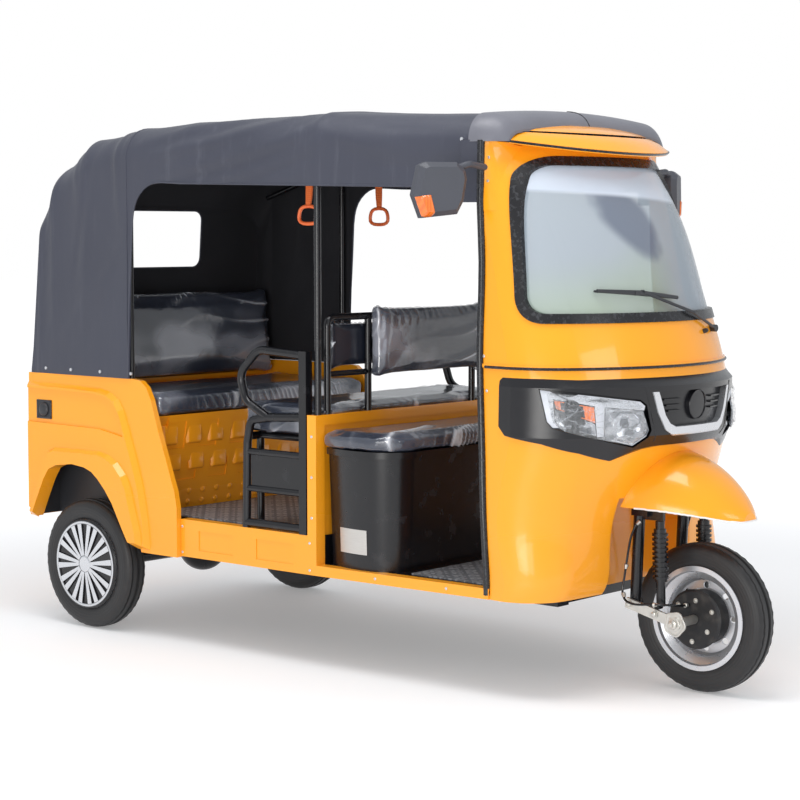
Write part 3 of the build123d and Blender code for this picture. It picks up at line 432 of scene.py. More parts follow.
def seal_rubber():
    """Black sealing rubber, dulled by water marks."""
    s = Surface("seal_rubber", (0.02, 0.02, 0.023), 0.45)
    mark = s.grain(70.0, 5.0).step(0.5, 0.72)
    s.tint((0.010, 0.010, 0.012), (0.034, 0.036, 0.043), mark)
    s.feed("Roughness", 0.24 + mark * 0.3)
    s.bump(s.grain(500.0), 0.0003, 0.5)
    return s.material


def chequer_mat():
    """Rubber floor mat with the raised lozenges of chequer plate."""
    s = Surface("chequer_mat", (0.05, 0.052, 0.058), 0.5)
    x, y, _ = s.axes()
    half_root, bar, pitch, cell = 0.7071, 0.024, 0.052, 0.026
    along, across = (x + y) * half_root, (x - y) * half_root

    def bars(one, other):
        return (1 - one.fold(bar) / (bar / 2)).step(0.25, 0.6) * other.fold(pitch).step(0.006, 0.012)
    turn = ((x / cell).floor() + (y / cell).floor()) * 0.5
    odd = turn.math("FRACT", turn).step(0.2, 0.3)
    raised = bars(along, across) * odd + bars(across, along) * (1 - odd)
    dust = s.grain(13.0, 5.0)
    s.tint(s.blend((0.070, 0.072, 0.080), (0.16, 0.163, 0.175), dust),
           (0.30, 0.305, 0.32), raised * 0.8)
    s.feed("Roughness", 0.56 - raised * 0.2)
    s.bump(raised, 0.0016, 0.9)
    return s.material


def tyre_rubber(centre, name):
    """Tyre rubber: ribbed side wall about its own axle, with dusty grooves."""
    s = Surface(name, (0.022, 0.022, 0.024), 0.6)
    x, _, z = s.axes(s.place(centre=centre))
    reach = (x * x + z * z) ** 0.5
    ring = (reach * 620.0).wave() * (1 - reach.step(0.222, 0.228)) * reach.step(0.178, 0.182)
    dust = s.grain(26.0, 5.0)
    worn = reach.step(0.236, 0.243)
    s.tint(s.blend((0.009, 0.009, 0.011), (0.028, 0.027, 0.027), dust),
           (0.032, 0.032, 0.034), worn * 0.6)
    s.feed("Roughness", 0.36 + dust * 0.24)
    s.bump(ring, 0.0007, 0.6)
    s.bump(s.grain(600.0), 0.0002, 0.5)
    return s.material


def wheel_steel():
    """Silver enamel on a pressed wheel."""
    s = Surface("wheel_steel", (0.58, 0.59, 0.62), 0.24, 0.85)
    dust = s.grain(22.0, 5.0)
    s.tint((0.50, 0.51, 0.54), (0.30, 0.30, 0.31), dust * 0.7)
    s.feed("Roughness", 0.16 + dust * 0.2)
    return s.material


def hubcap_paint(face_y):
    """Silver on the spokes and rings that stand proud, gloss black between them."""
    s = Surface("hubcap_paint", (0.6, 0.61, 0.63), 0.26, 0.6)
    _, y, _ = s.axes()
    proud = abs(y).step(face_y, face_y + 0.0008)
    fleck = s.grain(240.0)
    s.tint((0.012, 0.012, 0.014), (0.70, 0.71, 0.74), proud)
    s.feed("Metallic", proud * 0.8)
    s.feed("Roughness", 0.2 + fleck * 0.12)
    return s.material


def windscreen_glass():
    """Laminated glass under a pale blue-grey painted reflection, brightest in a band at the top and taken off
    over a darker lobe above the wiper, with a green cast low down.
    """
    s = Surface("windscreen_glass", (0.34, 0.40, 0.42), 0.03, IOR=1.6)
    _, y, z = s.axes()
    haze = s.grain(5.0, 3.0)
    # a pale band along the top: painted reflection
    band = (z + y * 0.05).step(1.600, 1.618)
    green = (1 - (z + haze * 0.10 - y * 0.25).step(1.36, 1.58)) * (1 - (y + haze * 0.1).step(-0.10, 0.16))
    # a darker, more opaque lobe, where less painted reflection lies
    lobe_y, lobe_z = (y + 0.055 + haze * 0.10) / 0.115, (z - 1.475 + y * 0.35 - haze * 0.06) / 0.105
    dark_lobe = 1 - (lobe_y * lobe_y + lobe_z * lobe_z).step(0.5, 1.5)
    # the pale blue-grey over the whole glass is painted reflection; low down it is mixed with a green cast
    dust = s.blend((0.38, 0.44, 0.50), (0.36, 0.46, 0.33), green * (0.5 + haze * 0.6))
    dust = s.blend(dust, (0.12, 0.15, 0.22), dark_lobe * 0.9)
    s.tint(dust, (0.80, 0.88, 1.0), band * 0.85)
    rain = s.cells(210.0).step(0.03, 0.08)
    s.feed("Alpha", 0.64 + band * 0.04 + dark_lobe * 0.10 + (1 - rain) * 0.1)
    s.feed("Roughness", 0.03 + haze * 0.05)
    s.bump(1 - rain, 0.0005, 0.25)
    s.see_through()
    return s.material


def lens_glass():
    """Clear moulded lamp cover with fine flutes."""
    s = Surface("lens_glass", (0.9, 0.93, 0.95), 0.04)
    _, y, _ = s.axes()
    flute = (y * 520.0).wave() * s.grain(5.0).step(0.45, 0.6)
    s.feed("Alpha", 0.07 + flute * 0.05)
    s.bump(flute, 0.0008, 0.5)
    s.see_through()
    return s.material


def lamp_reflector():
    """Plated facets behind the lamp cover, each painted a random lighter or darker grey as painted
    reflection.
    """
    s = Surface("lamp_reflector", (0.75, 0.77, 0.8), 0.14, 0.95)
    facet_glint = s.cells(34.0).part(1)
    # each facet lighter or darker at random: painted reflection on the plated facets
    s.tint((0.07, 0.075, 0.09), (0.62, 0.64, 0.68), facet_glint)
    s.bump(s.cells(34.0), 0.003, 0.4)
    return s.material


def light_guide():
    """Frosted white strip of the running light."""
    s = Surface("light_guide", (0.55, 0.57, 0.62), 0.3, Emission_Strength=0.05)
    s.tint((0.50, 0.52, 0.57), (0.64, 0.66, 0.71), s.grain(80.0))
    s.feed("Emission Color", s.blend((0.7, 0.75, 0.85), (1.0, 1.0, 1.0), s.grain(60.0)))
    return s.material


def coloured_lens(name, colour):
    """Moulded indicator lens with a ribbed back."""
    s = Surface(name, colour, 0.12, Coat_Weight=0.8, Coat_Roughness=0.03)
    _, y, _ = s.axes()
    rib = (y * 700.0).wave()
    s.tint(tuple(c * 0.6 for c in colour), colour, rib * 0.6 + 0.4)
    s.feed("Roughness", 0.1 + rib * 0.06)
    s.bump(rib, 0.0008, 0.5)
    return s.material


def bare_plate():
    """Blank aluminium plate, brushed along its length."""
    s = Surface("bare_plate", (0.62, 0.60, 0.57), 0.34, 0.85)
    brush = s.grain(30.0, 3.0, 0.6, (1.0, 1.0, 22.0))
    s.tint((0.55, 0.53, 0.50), (0.72, 0.70, 0.67), brush)
    s.feed("Roughness", 0.28 + brush * 0.2)
    return s.material


def mirror_glass():
    s = Surface("mirror_glass", (0.86, 0.88, 0.9), 0.02, 1.0)
    s.feed("Roughness", s.grain(40.0, 4.0) * 0.05 + 0.01)
    return s.material


def white_trim():
    """White edging bead along the fender."""
    s = Surface("white_trim", (0.85, 0.85, 0.84), 0.35)
    s.tint((0.78, 0.77, 0.74), (0.9, 0.9, 0.9), s.grain(25.0))
    return s.material


# ---------------------------------------------------------------- shaping by hand
def clamp(value, low=0.0, high=1.0):
    return min(high, max(low, value))


def skin_of(node):
    """A CAD piece's faces, ready for finding where a line meets them."""
    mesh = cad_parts[node].data
    return BVHTree.FromPolygons([vert.co for vert in mesh.vertices],
                                [poly.vertices for poly in mesh.polygons])


def take(*pieces):
    """Makes these pieces the only ones selected, the last of them active."""
    bpy.ops.object.select_all(action="DESELECT")
    for piece in pieces:
        piece.select_set(True)
    bpy.context.view_layer.objects.active = pieces[-1]
    return pieces[-1]


def begin(kind, name, **placing):
    """Adds one primitive at its size and place."""
    bpy.ops.object.select_all(action="DESELECT")
    getattr(bpy.ops.mesh, f"primitive_{kind}_add")(**placing)
    piece = bpy.context.object
    piece.name = name
    return piece


def settle():
    """Writes the place, turn and size of what is selected into its mesh."""
    bpy.ops.object.transform_apply(location=True, rotation=True, scale=True)


def block(name, size, location=(0, 0, 0), rotation=(0, 0, 0)):
    """A box of a given length, breadth and height."""
    piece = begin("cube", name, size=1, location=location, scale=size, rotation=rotation)
    settle()
    return piece


def pick(piece, test, kind="FACE"):
    """Opens a piece for editing, with only the faces or edges that pass the test selected."""
    take(piece)
    bpy.ops.object.mode_set(mode="EDIT")
    bpy.ops.mesh.select_mode(type=kind)
    bpy.ops.mesh.select_all(action="DESELECT")
    shape = bmesh.from_edit_mesh(piece.data)
    for part in {"FACE": shape.faces, "EDGE": shape.edges, "VERT": shape.verts}[kind]:
        if test(part):
            part.select_set(True)
    shape.select_flush_mode()
    bmesh.update_edit_mesh(piece.data)


def close(piece):
    bpy.ops.object.mode_set(mode="OBJECT")
    return piece


def push(x=0, y=0, z=0):
    """Extrudes what is selected and moves it."""
    bpy.ops.mesh.extrude_region_move(TRANSFORM_OT_translate={"value": (x, y, z)})


def inset_push(inset, x=0, y=0, z=0):
    """Draws the selected face in from its edge, then extrudes it."""
    bpy.ops.mesh.inset(thickness=inset)
    push(x, y, z)


def outward(piece):
    """Merges doubles and turns every face outwards."""
    pick(piece, lambda face: True)
    bpy.ops.mesh.remove_doubles(threshold=1e-5)
    bpy.ops.mesh.normals_make_consistent(inside=False)
    return close(piece)


def modify(piece, kind, **settings):
    """Adds a modifier and applies it."""
    take(piece)
    modifier = piece.modifiers.new(kind.lower(), kind)
    for key, value in settings.items():
        setattr(modifier, key, value)
    bpy.ops.object.modifier_apply(modifier=modifier.name)
    return piece


def roll_edges(piece, width, segments, angle):
    """Rounds the edges sharper than angle degrees."""
    return modify(piece, "BEVEL", width=width, segments=segments, limit_method="ANGLE",
                  angle_limit=math.radians(angle), harden_normals=False)


def join(name, *pieces):
    """Makes one piece of several."""
    take(*pieces)
    settle()
    bpy.ops.object.join()
    whole = bpy.context.object
    whole.name = name
    return whole


def copy_of(piece, name, move=(0, 0, 0), flip=None):
    """Another of the same piece with its own mesh, moved or mirrored along one axis."""
    take(piece)
    bpy.ops.object.duplicate(linked=False)
    other = bpy.context.object
    other.name = name
    matrix = Matrix.Translation(Vector(move))
    if flip is not None:
        scale = Matrix.Identity(4)
        scale[flip][flip] = -1
        matrix = matrix @ scale
    take(other)
    settle()
    other.data.transform(matrix)
    if flip is not None:
        other.data.flip_normals()
    return other


def both_sides(name, right):
    """A piece of the vehicle's right side and its mirror image on the left, as one."""
    return join(name, right, copy_of(right, right.name, flip=1))


def set_on(model, name, spot, facing):
    """A copy of one small part, set on its spot and facing outwards."""
    one = copy_of(model, name)
    turn = Vector(facing).to_track_quat("Z", "Y").to_matrix().to_4x4()
    one.matrix_world = Matrix.Translation(Vector(spot)) @ turn
    return one


def place_all(name, model, spots):
    """Copies of one small part on all its spots, joined."""
    made = [set_on(model, name, spot, facing) for spot, facing in spots]
    bpy.data.objects.remove(model)
    return join(name, *made)


def fit(piece, finish, body="chassis", stands_for=(), smooth=38):
    """Puts a piece's place into its mesh, and gives it its finish and its body."""
    take(piece)
    settle()
    if finish is not None:
        piece.data.materials.clear()
        piece.data.materials.append(finish)
    if smooth:
        bpy.ops.object.shade_smooth_by_angle(angle=math.radians(smooth))
    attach(piece, body)
    if stands_for:
        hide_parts(*stands_for)
    return piece


def repaint(finish, nodes):
    """Gives CAD pieces whose shape is right a better finish."""
    for node in nodes:
        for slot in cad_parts[node].material_slots:
            slot.material = finish


def softened(node, name, width=0.0, angle=32):
    """A merged copy of a CAD piece, with its sharp edges rolled."""
    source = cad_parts[node]
    piece = bpy.data.objects.new(name, source.data.copy())
    bpy.context.scene.collection.objects.link(piece)
    pick(piece, lambda face: True)
    bpy.ops.mesh.remove_doubles(threshold=2e-5)
    bpy.ops.mesh.customdata_custom_splitnormals_clear()
    close(piece)
    return roll_edges(piece, width, 2, angle) if width else piece


def sweep(name, points, radius, sides):
    """A round bar bent through points: a disc extruded from one point to the next."""
    line = [Vector(point) for point in points]
    first = (line[1] - line[0]).normalized()
    piece = begin("circle", name, vertices=sides, radius=radius, fill_type="NGON",
                  location=line[0], rotation=first.to_track_quat("Z", "Y").to_euler())
    settle()
    bpy.ops.object.mode_set(mode="EDIT")
    bpy.ops.mesh.select_mode(type="FACE")
    bpy.ops.mesh.select_all(action="SELECT")
    heading = first
    for index in range(1, len(line)):
        into = (line[index] - line[index - 1]).normalized()
        after = (line[index + 1] - line[index]).normalized() if index + 1 < len(line) else into
        turned = (into + after).normalized()
        push(*(line[index] - line[index - 1]))
        turn = heading.rotation_difference(turned)
        if turn.angle > 1e-4:
            shape = bmesh.from_edit_mesh(piece.data)
            bmesh.ops.rotate(shape, cent=line[index], matrix=turn.to_matrix(),
                             verts=[vert for vert in shape.verts if vert.select])
            bmesh.update_edit_mesh(piece.data)
        heading = turned
    close(piece)
    return outward(piece)


def lathe(name, profile, centre, axis, steps):
    """Turns a profile of (along the axis, radius) pairs once round an axis through centre."""
    centre, axis = Vector(centre), Vector(axis).normalized()
    across = axis.orthogonal().normalized()
    piece = begin("plane", name, size=0.01)
    mesh = bmesh.new()
    spots = [mesh.verts.new(centre + axis * along + across * radius) for along, radius in profile]
    for one, two in zip(spots, spots[1:]):
        mesh.edges.new((one, two))
    mesh.to_mesh(piece.data)
    mesh.free()
    piece.location = (0, 0, 0)
    pick(piece, lambda edge: True, "EDGE")
    bpy.ops.mesh.spin(steps=steps, angle=2 * math.pi, center=centre, axis=axis)
    close(piece)
    return outward(piece)


# ---------------------------------------------------------------- canopy
HOOPS = (           # x, half width, edge height, crown, shoulder radius
    (-1.445, 0.604, 0.985, 0.002, 0.012), (-1.398, 0.600, 1.585, 0.015, 0.120),
    (-1.319, 0.602, 1.735, 0.020, 0.140), (-1.140, 0.606, 1.838, 0.024, 0.130),
    (-0.898, 0.608, 1.872, 0.025, 0.120), (-0.600, 0.604, 1.886, 0.026, 0.110),
    (0.018, 0.572, 1.896, 0.026, 0.110), (0.640, 0.500, 1.872, 0.026, 0.100))
ROWS_BETWEEN = (30, 12, 14, 16, 16, 34, 34)
SLACK = (0.0, 0.007, 0.009, 0.008, 0.003, 0.004, 0.003)      # sag between one hoop and the next
FOLDS = (           # depth, width, then points as (x, distance down from the crown)
    (0.0065, 0.020, (-0.80, 0.75), (-0.60, 0.715), (-0.39, 0.680), (-0.12, 0.61), (0.04, 0.53)),
    (-0.0060, 0.017, (-0.76, 0.77), (-0.55, 0.745), (-0.34, 0.705), (-0.10, 0.645), (0.02, 0.58)),
    (0.0060, 0.018, (-0.66, 0.79), (-0.45, 0.755), (-0.21, 0.705), (-0.02, 0.635)),
    (-0.0050, 0.016, (-0.52, 0.79), (-0.30, 0.755), (-0.08, 0.690), (0.02, 0.64)),
    (0.0045, 0.016, (-0.34, 0.78), (-0.14, 0.745), (0.02, 0.70)),
    (0.0060, 0.018, (-0.84, 0.680), (-0.62, 0.650), (-0.42, 0.61), (-0.18, 0.53), (0.0, 0.44)),
    (-0.0055, 0.018, (-0.84, 0.640), (-0.66, 0.615), (-0.45, 0.57), (-0.22, 0.48)),
    (0.0050, 0.020, (-0.82, 0.600), (-0.64, 0.570), (-0.40, 0.50), (-0.10, 0.36)),
    (0.0050, 0.018, (0.02, 0.20), (0.018, 0.50), (0.018, 0.73)),
    (-0.0040, 0.022, (0.05, 0.62), (0.26, 0.655), (0.46, 0.66), (0.62, 0.63)),
    (0.0045, 0.020, (0.04, 0.57), (0.24, 0.60), (0.44, 0.60), (0.62, 0.57)),
    (-0.0040, 0.022, (0.04, 0.50), (0.30, 0.53), (0.62, 0.50)),
    (0.0060, 0.013, (-0.96, 0.40), (-0.955, 0.62), (-0.935, 0.90)),
    (-0.0050, 0.016, (-1.00, 0.44), (-0.99, 0.66), (-0.985, 0.84)),
    (0.0050, 0.014, (-1.20, 0.40), (-1.19, 0.60), (-1.17, 0.78)),
    (-0.0045, 0.018, (-1.08, 0.55), (-1.14, 0.80), (-1.20, 1.05)),
    (0.0040, 0.024, (-0.90, 0.95), (-1.05, 1.10), (-1.25, 1.20)),
    (0.0045, 0.018, (-1.30, 0.45), (-1.32, 0.60), (-1.36, 0.74)),
)
FOLD_REACH = 1.2        # a fold that starts further off than this is passed over
CLOTH_STAND = 0.0035    # how far the smooth cloth lies inside the hood's full size
CLOTH_THICK = 0.0028
CLOTH_ROOM = (-0.012, 0.0005)
DOORWAY_REAR = (-0.884, -0.856)         # x at the bottom and at the top of the doorway
DOORWAY_TOP = ((-0.822, 1.676), (0.66, 1.640))       # x and z of its upper edge's ends
DOORWAY_CORNER = 0.138
REAR_WINDOW = (0.265, 1.353, 1.585)     # half width, lowest and highest
WINDOW_CORNER = 0.04


def hoop_at(x):
    """The hood's section at any x, between the hoops on either side."""
    for here, after in zip(HOOPS, HOOPS[1:]):
        if x <= after[0]:
            share = (x - here[0]) / (after[0] - here[0])
            return [a + (b - a) * share for a, b in zip(here, after)]
    return list(HOOPS[-1])


def half_section(row, low=CANOPY_LOW, counts=(40, 12, 26)):
    """Points (y, z, outward y, outward z, distance down from the crown), crown first."""
    _, half, edge, crown, radius = row
    arc = (half * half + crown * crown) / (2 * crown)
    arc_z = edge + crown - arc
    bend_z = arc_z + math.sqrt((arc - radius) ** 2 - (half - radius) ** 2)
    start = math.atan2(bend_z - arc_z, half - radius)
    line = []
    for index in range(counts[2] + 1):
        angle = math.pi / 2 + (start - math.pi / 2) * index / counts[2]
        line.append((arc * math.cos(angle), arc_z + arc * math.sin(angle),
                     math.cos(angle), math.sin(angle)))
    for index in range(1, counts[1] + 1):
        angle = start * (1 - index / counts[1])
        line.append((half - radius + radius * math.cos(angle), bend_z + radius * math.sin(angle),
                     math.cos(angle), math.sin(angle)))
    for index in range(1, counts[0] + 1):
        line.append((half, bend_z + (low - bend_z) * index / counts[0], 1.0, 0.0))
    down, measured = 0.0, []
    for index, (y, z, ny, nz) in enumerate(line):
        if index:
            down += math.hypot(y - line[index - 1][0], z - line[index - 1][1])
        measured.append((y, z, ny, nz, down))
    return measured


def from_line(x, down, points):
    """Distance from a fold's line, and how far along the fold that is."""
    best, along_best, done = 1e9, 0.0, 0.0
    lengths = [math.dist(a, b) for a, b in zip(points, points[1:])]
    for (a, b), length in zip(zip(points, points[1:]), lengths):
        share = ((x - a[0]) * (b[0] - a[0]) + (down - a[1]) * (b[1] - a[1])) / length ** 2
        share = clamp(share)
        gap = math.dist((x, down), (a[0] + (b[0] - a[0]) * share, a[1] + (b[1] - a[1]) * share))
        if gap < best:
            best, along_best = gap, done + share * length
        done += length
    return best, along_best / sum(lengths)


def fold_height(x, down, side):
    """How far the folds lift the cloth there, with a little noise over them."""
    height = 0.0
    shift = 0.012 * side
    for depth, width, *points in FOLDS:
        if abs(x - points[0][0]) > FOLD_REACH:
            continue
        gap, along = from_line(x + shift * 0.5, down + shift, points)
        if gap < 3 * width:
            height += depth * math.exp(-(gap / width) ** 2) * math.sin(math.pi * (0.08 + 0.84 * along))
    place = Vector((x * 3.1, down * 2.6, side * 4.0))
    height += 0.0035 * noise.noise(place) + 0.0012 * noise.noise(place * 4.3)
    return height


def canopy_rows():
    """The x of every row of the cloth, and the share of its way from one hoop to the next."""
    rows = []
    for index, count in enumerate(ROWS_BETWEEN):
        start, end = HOOPS[index][0], HOOPS[index + 1][0]
        for step in range(count):
            share = step / count
            rows.append((start + (end - start) * share, index, share))
    return rows + [(HOOPS[-1][0], len(ROWS_BETWEEN) - 1, 1.0)]


def canopy_point(x, side, place, index, share, lift=0.0):
    """The cloth's outer face, folded and slack, at one place of a section."""
    y, z, ny, nz, down = place
    sag = SLACK[index] * math.sin(math.pi * share) * clamp((1.25 - down) / 0.5)
    height = fold_height(x, down, side) - sag - CLOTH_STAND
    height *= clamp((z - CANOPY_LOW) / 0.10) * 0.75 + 0.25
    height = clamp(height, *CLOTH_ROOM) + lift
    return Vector((x, side * (y + ny * height), z + nz * height))


def sew_canopy(outer, inner):
    """The hood's cloth in one piece, lined, with its doorways and rear window cut out."""
    rows = canopy_rows()
    across = len(half_section(HOOPS[1])) * 2 - 2
    hood = begin("grid", "canopy_cloth", x_subdivisions=across, y_subdivisions=len(rows),
                 size=1, location=(0, 0, 0))
    mesh = hood.data
    columns, lines = across + 1, len(rows) + 1
    half = across // 2
    for line in range(lines):
        x, index, share = rows[max(0, line - 1)]
        places = half_section(hoop_at(x))
        for column in range(columns):
            side = -1 if column < half else 1
            spot = canopy_point(x, side, places[abs(column - half)], index, share)
            if line == 0:
                spot.z = CANOPY_LOW
            if line <= 1:
                spot.x -= 0.0005
            mesh.vertices[line * columns + column].co = spot
    mesh.update()
    hood = outward(hood)
    hood.data.materials.append(outer)
    hood.data.materials.append(inner)
    modify(hood, "SOLIDIFY", thickness=CLOTH_THICK, offset=-1, material_offset=1, material_offset_rim=0)
    for cutter in (doorway_cutter(), window_cutter()):
        modify(hood, "BOOLEAN", operation="DIFFERENCE", solver="EXACT", object=cutter)
        bpy.data.objects.remove(cutter)
    return hood


def doorway_cutter():
    """The shape of both doorways, straight through the canopy."""
    cutter = block("doorway_cutter", (1.5, 2, 1), (-0.08, 0, 1.25))
    for vert in cutter.data.vertices:
        top = DOORWAY_TOP[0][1] if vert.co.x < 0 else DOORWAY_TOP[-1][1]
        vert.co.z = 0.8 if vert.co.z < 1.25 else top
        if vert.co.x < 0:
            vert.co.x = DOORWAY_REAR[0] if vert.co.z < 1 else DOORWAY_REAR[1]
        else:
            vert.co.x = DOORWAY_TOP[-1][0] + 0.02
    pick(cutter, lambda edge: all(v.co.z > 1.5 and v.co.x < 0 for v in edge.verts), "EDGE")
    bpy.ops.mesh.bevel(offset=0.14, segments=14, affect="EDGES")
    return close(cutter)


def window_cutter():
    """The shape of the rear window, straight through the canopy's back."""
    half, low, high = REAR_WINDOW
    cutter = block("window_cutter", (0.16, 2 * half, high - low), (-1.42, 0, (low + high) / 2))
    pick(cutter, lambda edge: abs(edge.verts[0].co.x - edge.verts[1].co.x) > 0.1, "EDGE")
    bpy.ops.mesh.bevel(offset=WINDOW_CORNER, segments=8, affect="EDGES")
    return close(cutter)


def side_of_canopy(x, z, side):
    """The cloth's outer face at a place on the side of the canopy."""
    places = half_section(hoop_at(x))
    index = next(i for i, hoop in enumerate(HOOPS[1:]) if x <= hoop[0] + 1e-6)
    share = (x - HOOPS[index][0]) / (HOOPS[index + 1][0] - HOOPS[index][0])
    best = min(places, key=lambda place: abs(place[1] - z) + (0.4 if place[0] < 0.4 else 0))
    spot = canopy_point(x, side, best, index, share)
    spot.z = z
    return spot


def sew_edges():
    """Round piping along the doorway edges, the rear window and the rear roof seam."""
    beads = []
    for side in (-1, 1):
        outline = [(DOORWAY_REAR[0], 0.962), (DOORWAY_REAR[0] + 0.007, 1.2), (DOORWAY_REAR[0] + 0.018, 1.40),
                   (DOORWAY_REAR[1] - 0.003, 1.53)]
        middle_x, middle_z = DOORWAY_REAR[1] + DOORWAY_CORNER, 1.539
        for step in range(1, 9):
            angle = math.pi - step / 8 * math.pi / 2
            outline.append((middle_x + DOORWAY_CORNER * math.cos(angle),
                            middle_z + DOORWAY_CORNER * math.sin(angle)))
        (rear_x, rear_z), (front_x, front_z) = DOORWAY_TOP
        outline += [(x, rear_z + (front_z - rear_z) * (x - rear_x) / (front_x - rear_x))
                    for x in [tenth / 10 for tenth in range(-6, 7)] + [0.636]]
        beads.append(sweep("doorway_piping", [side_of_canopy(x, z, side) for x, z in outline],
                           0.0034, 8))
    seam = []
    x = DOORWAY_REAR[0] - 0.003
    for side, order in ((-1, 1), (1, -1)):
        places = half_section(hoop_at(x), counts=(14, 8, 10))
        spots = [canopy_point(x, side, place, 4, 0.15, lift=0.001) for place in places]
        seam += spots[::-1] if order > 0 else spots[1:]
    beads.append(sweep("roof_seam", seam, 0.0022, 8))
    half, low, high = REAR_WINDOW
    ring = []
    half, low, high = half - WINDOW_CORNER, low + WINDOW_CORNER, high - WINDOW_CORNER
    corners = ((half, high, 0), (-half, high, 90), (-half, low, 180), (half, low, 270))
    for corner_y, corner_z, start in corners:
        for step in range(6):
            angle = math.radians(start + step * 18)
            y, z = corner_y + WINDOW_CORNER * math.cos(angle), corner_z + WINDOW_CORNER * math.sin(angle)
            ring.append((-1.445 + 0.047 * (z - 0.987) / 0.613 + 0.001, y, z))
    beads.append(sweep("window_piping", ring + [ring[0]], 0.0034, 8))
    return join("canopy_piping", *beads)


def snap_studs():
    """Turn-button studs along the canopy's lower edge and at its front corners."""
    stud = begin("cylinder", "canopy_studs", vertices=14, radius=0.0062, depth=0.004)
    pick(stud, lambda face: face.normal.z > 0.9)
    inset_push(0.0022, z=0.0016)
    bpy.ops.mesh.bevel(offset=0.0008, segments=2, affect="EDGES")
    close(stud)
    spots = [(side_of_canopy(x, 0.978, side), Vector((0, side, 0)))
             for side in (-1, 1) for x in (-1.36, -1.21, -1.04, -0.868)]
    spots += [(Vector((-1.447, y, 0.978)), Vector((-1, 0, 0))) for y in (-0.45, -0.15, 0.15, 0.45)]
    spots += [(side_of_canopy(x, z, side), Vector((0, side, 0)))
              for side in (-1, 1) for x, z in ((0.612, 1.795), (0.618, 1.745))]
    return place_all("canopy_studs", stud, [(spot + facing * 0.0015, facing) for spot, facing in spots])


# ---------------------------------------------------------------- seats
CUSHIONS = (        # CAD piece, voxel, cap on the swelling, faces that stay where they rest
    ("rear_seat_cushion", 0.0105, 0.024, ("-Z",)),
    ("rear_seat_back", 0.0105, 0.022, ("-X", "-Z")),
    ("mid_bench_cushion", 0.0100, 0.018, ("-Z", "+X")),
    ("mid_bench_back", 0.0080, 0.014, ("+X",)),
    ("driver_back_pad", 0.0080, 0.016, ("-X",)),
    ("driver_seat_cushion", 0.0095, 0.020, ("-Z",)),
)


PAD_SHRINK, PAD_SWELL = 0.007, 0.008
SEAM_ROOM = 0.006       # how far a pad may swell past its CAD shape
FILM_ROOM = 0.0035      # room left over a pad for its film
FILM_LIFT, FILM_DEPTH = 0.0012, 0.0095
CREASE_BAND = 0.085     # how far in from a pad's edge the puckers run


def pad_points(piece):
    return [vert.co.copy() for vert in piece.data.vertices]


def hold_in(piece, start, low, high, resting, cap):
    """Keeps each point near where it began, inside the room that the seat has."""
    for vert, began in zip(piece.data.vertices, start):
        move = vert.co - began
        if move.length > cap:
            move *= cap / move.length
        spot = began + move
        for axis, letter in enumerate("XYZ"):
            least = low[axis] - (0.0 if "-" + letter in resting else SEAM_ROOM)
            most = high[axis] + (0.0 if "+" + letter in resting else SEAM_ROOM)
            spot[axis] = min(max(spot[axis], least), most)
        vert.co = spot
    piece.data.update()


def fill_room(piece, low, high, resting):
    """Brings the swollen pad back to the length, breadth and height that its seat allows."""
    spots = pad_points(piece)
    for axis, letter in enumerate("XYZ"):
        least, most = min(spot[axis] for spot in spots), max(spot[axis] for spot in spots)
        down = low[axis] + (0.0 if "-" + letter in resting else FILM_ROOM)
        up = high[axis] - (0.0 if "+" + letter in resting else FILM_ROOM)
        for vert in piece.data.vertices:
            vert.co[axis] = down + (vert.co[axis] - least) / (most - least) * (up - down)
    piece.data.update()


def swell(pad):
    """Blows the pad's cover up as cloth under pressure, for a moment."""
    cloth_of = pad.modifiers.new("swelling", "CLOTH")
    for key, value in {"quality": 4, "mass": 0.3, "tension_stiffness": 12, "compression_stiffness": 12,
                       "shear_stiffness": 6, "bending_stiffness": 0.4, "use_pressure": True,
                       "uniform_pressure_force": 4}.items():
        setattr(cloth_of.settings, key, value)
    cloth_of.settings.effector_weights.gravity = 0
    cloth_of.collision_settings.use_collision = False
    for moment in range(1, 21):
        bpy.context.scene.frame_set(moment)
    take(pad)
    bpy.ops.object.modifier_apply(modifier=cloth_of.name)
    bpy.context.scene.frame_set(1)


def stuff_cushion(node, voxel, cap, resting):
    """A foam pad in its cover: shrunk, then swollen by cloth under pressure."""
    low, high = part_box(node)
    pad = softened(node, node.replace("cushion", "pad") + "_cover")
    modify(pad, "REMESH", mode="VOXEL", voxel_size=voxel, adaptivity=0.0)
    modify(pad, "SMOOTH", factor=0.5, iterations=4)
    modify(pad, "DISPLACE", strength=-PAD_SHRINK, mid_level=0.0)
    start = pad_points(pad)
    swell(pad)
    hold_in(pad, start, low, high, resting, cap)
    fill_room(pad, low, high, resting)
    modify(pad, "SUBSURF", levels=1, render_levels=1)
    return pad


def ridge(place):
    """Sharp crests between smooth hollows, as thin film creases."""
    return (1 - abs(noise.noise(place))) ** 6


def fold(phase, sharpness):
    """A run of rounded folds, one to each whole number of phase."""
    return (1 - abs(math.sin(math.pi * phase))) ** sharpness


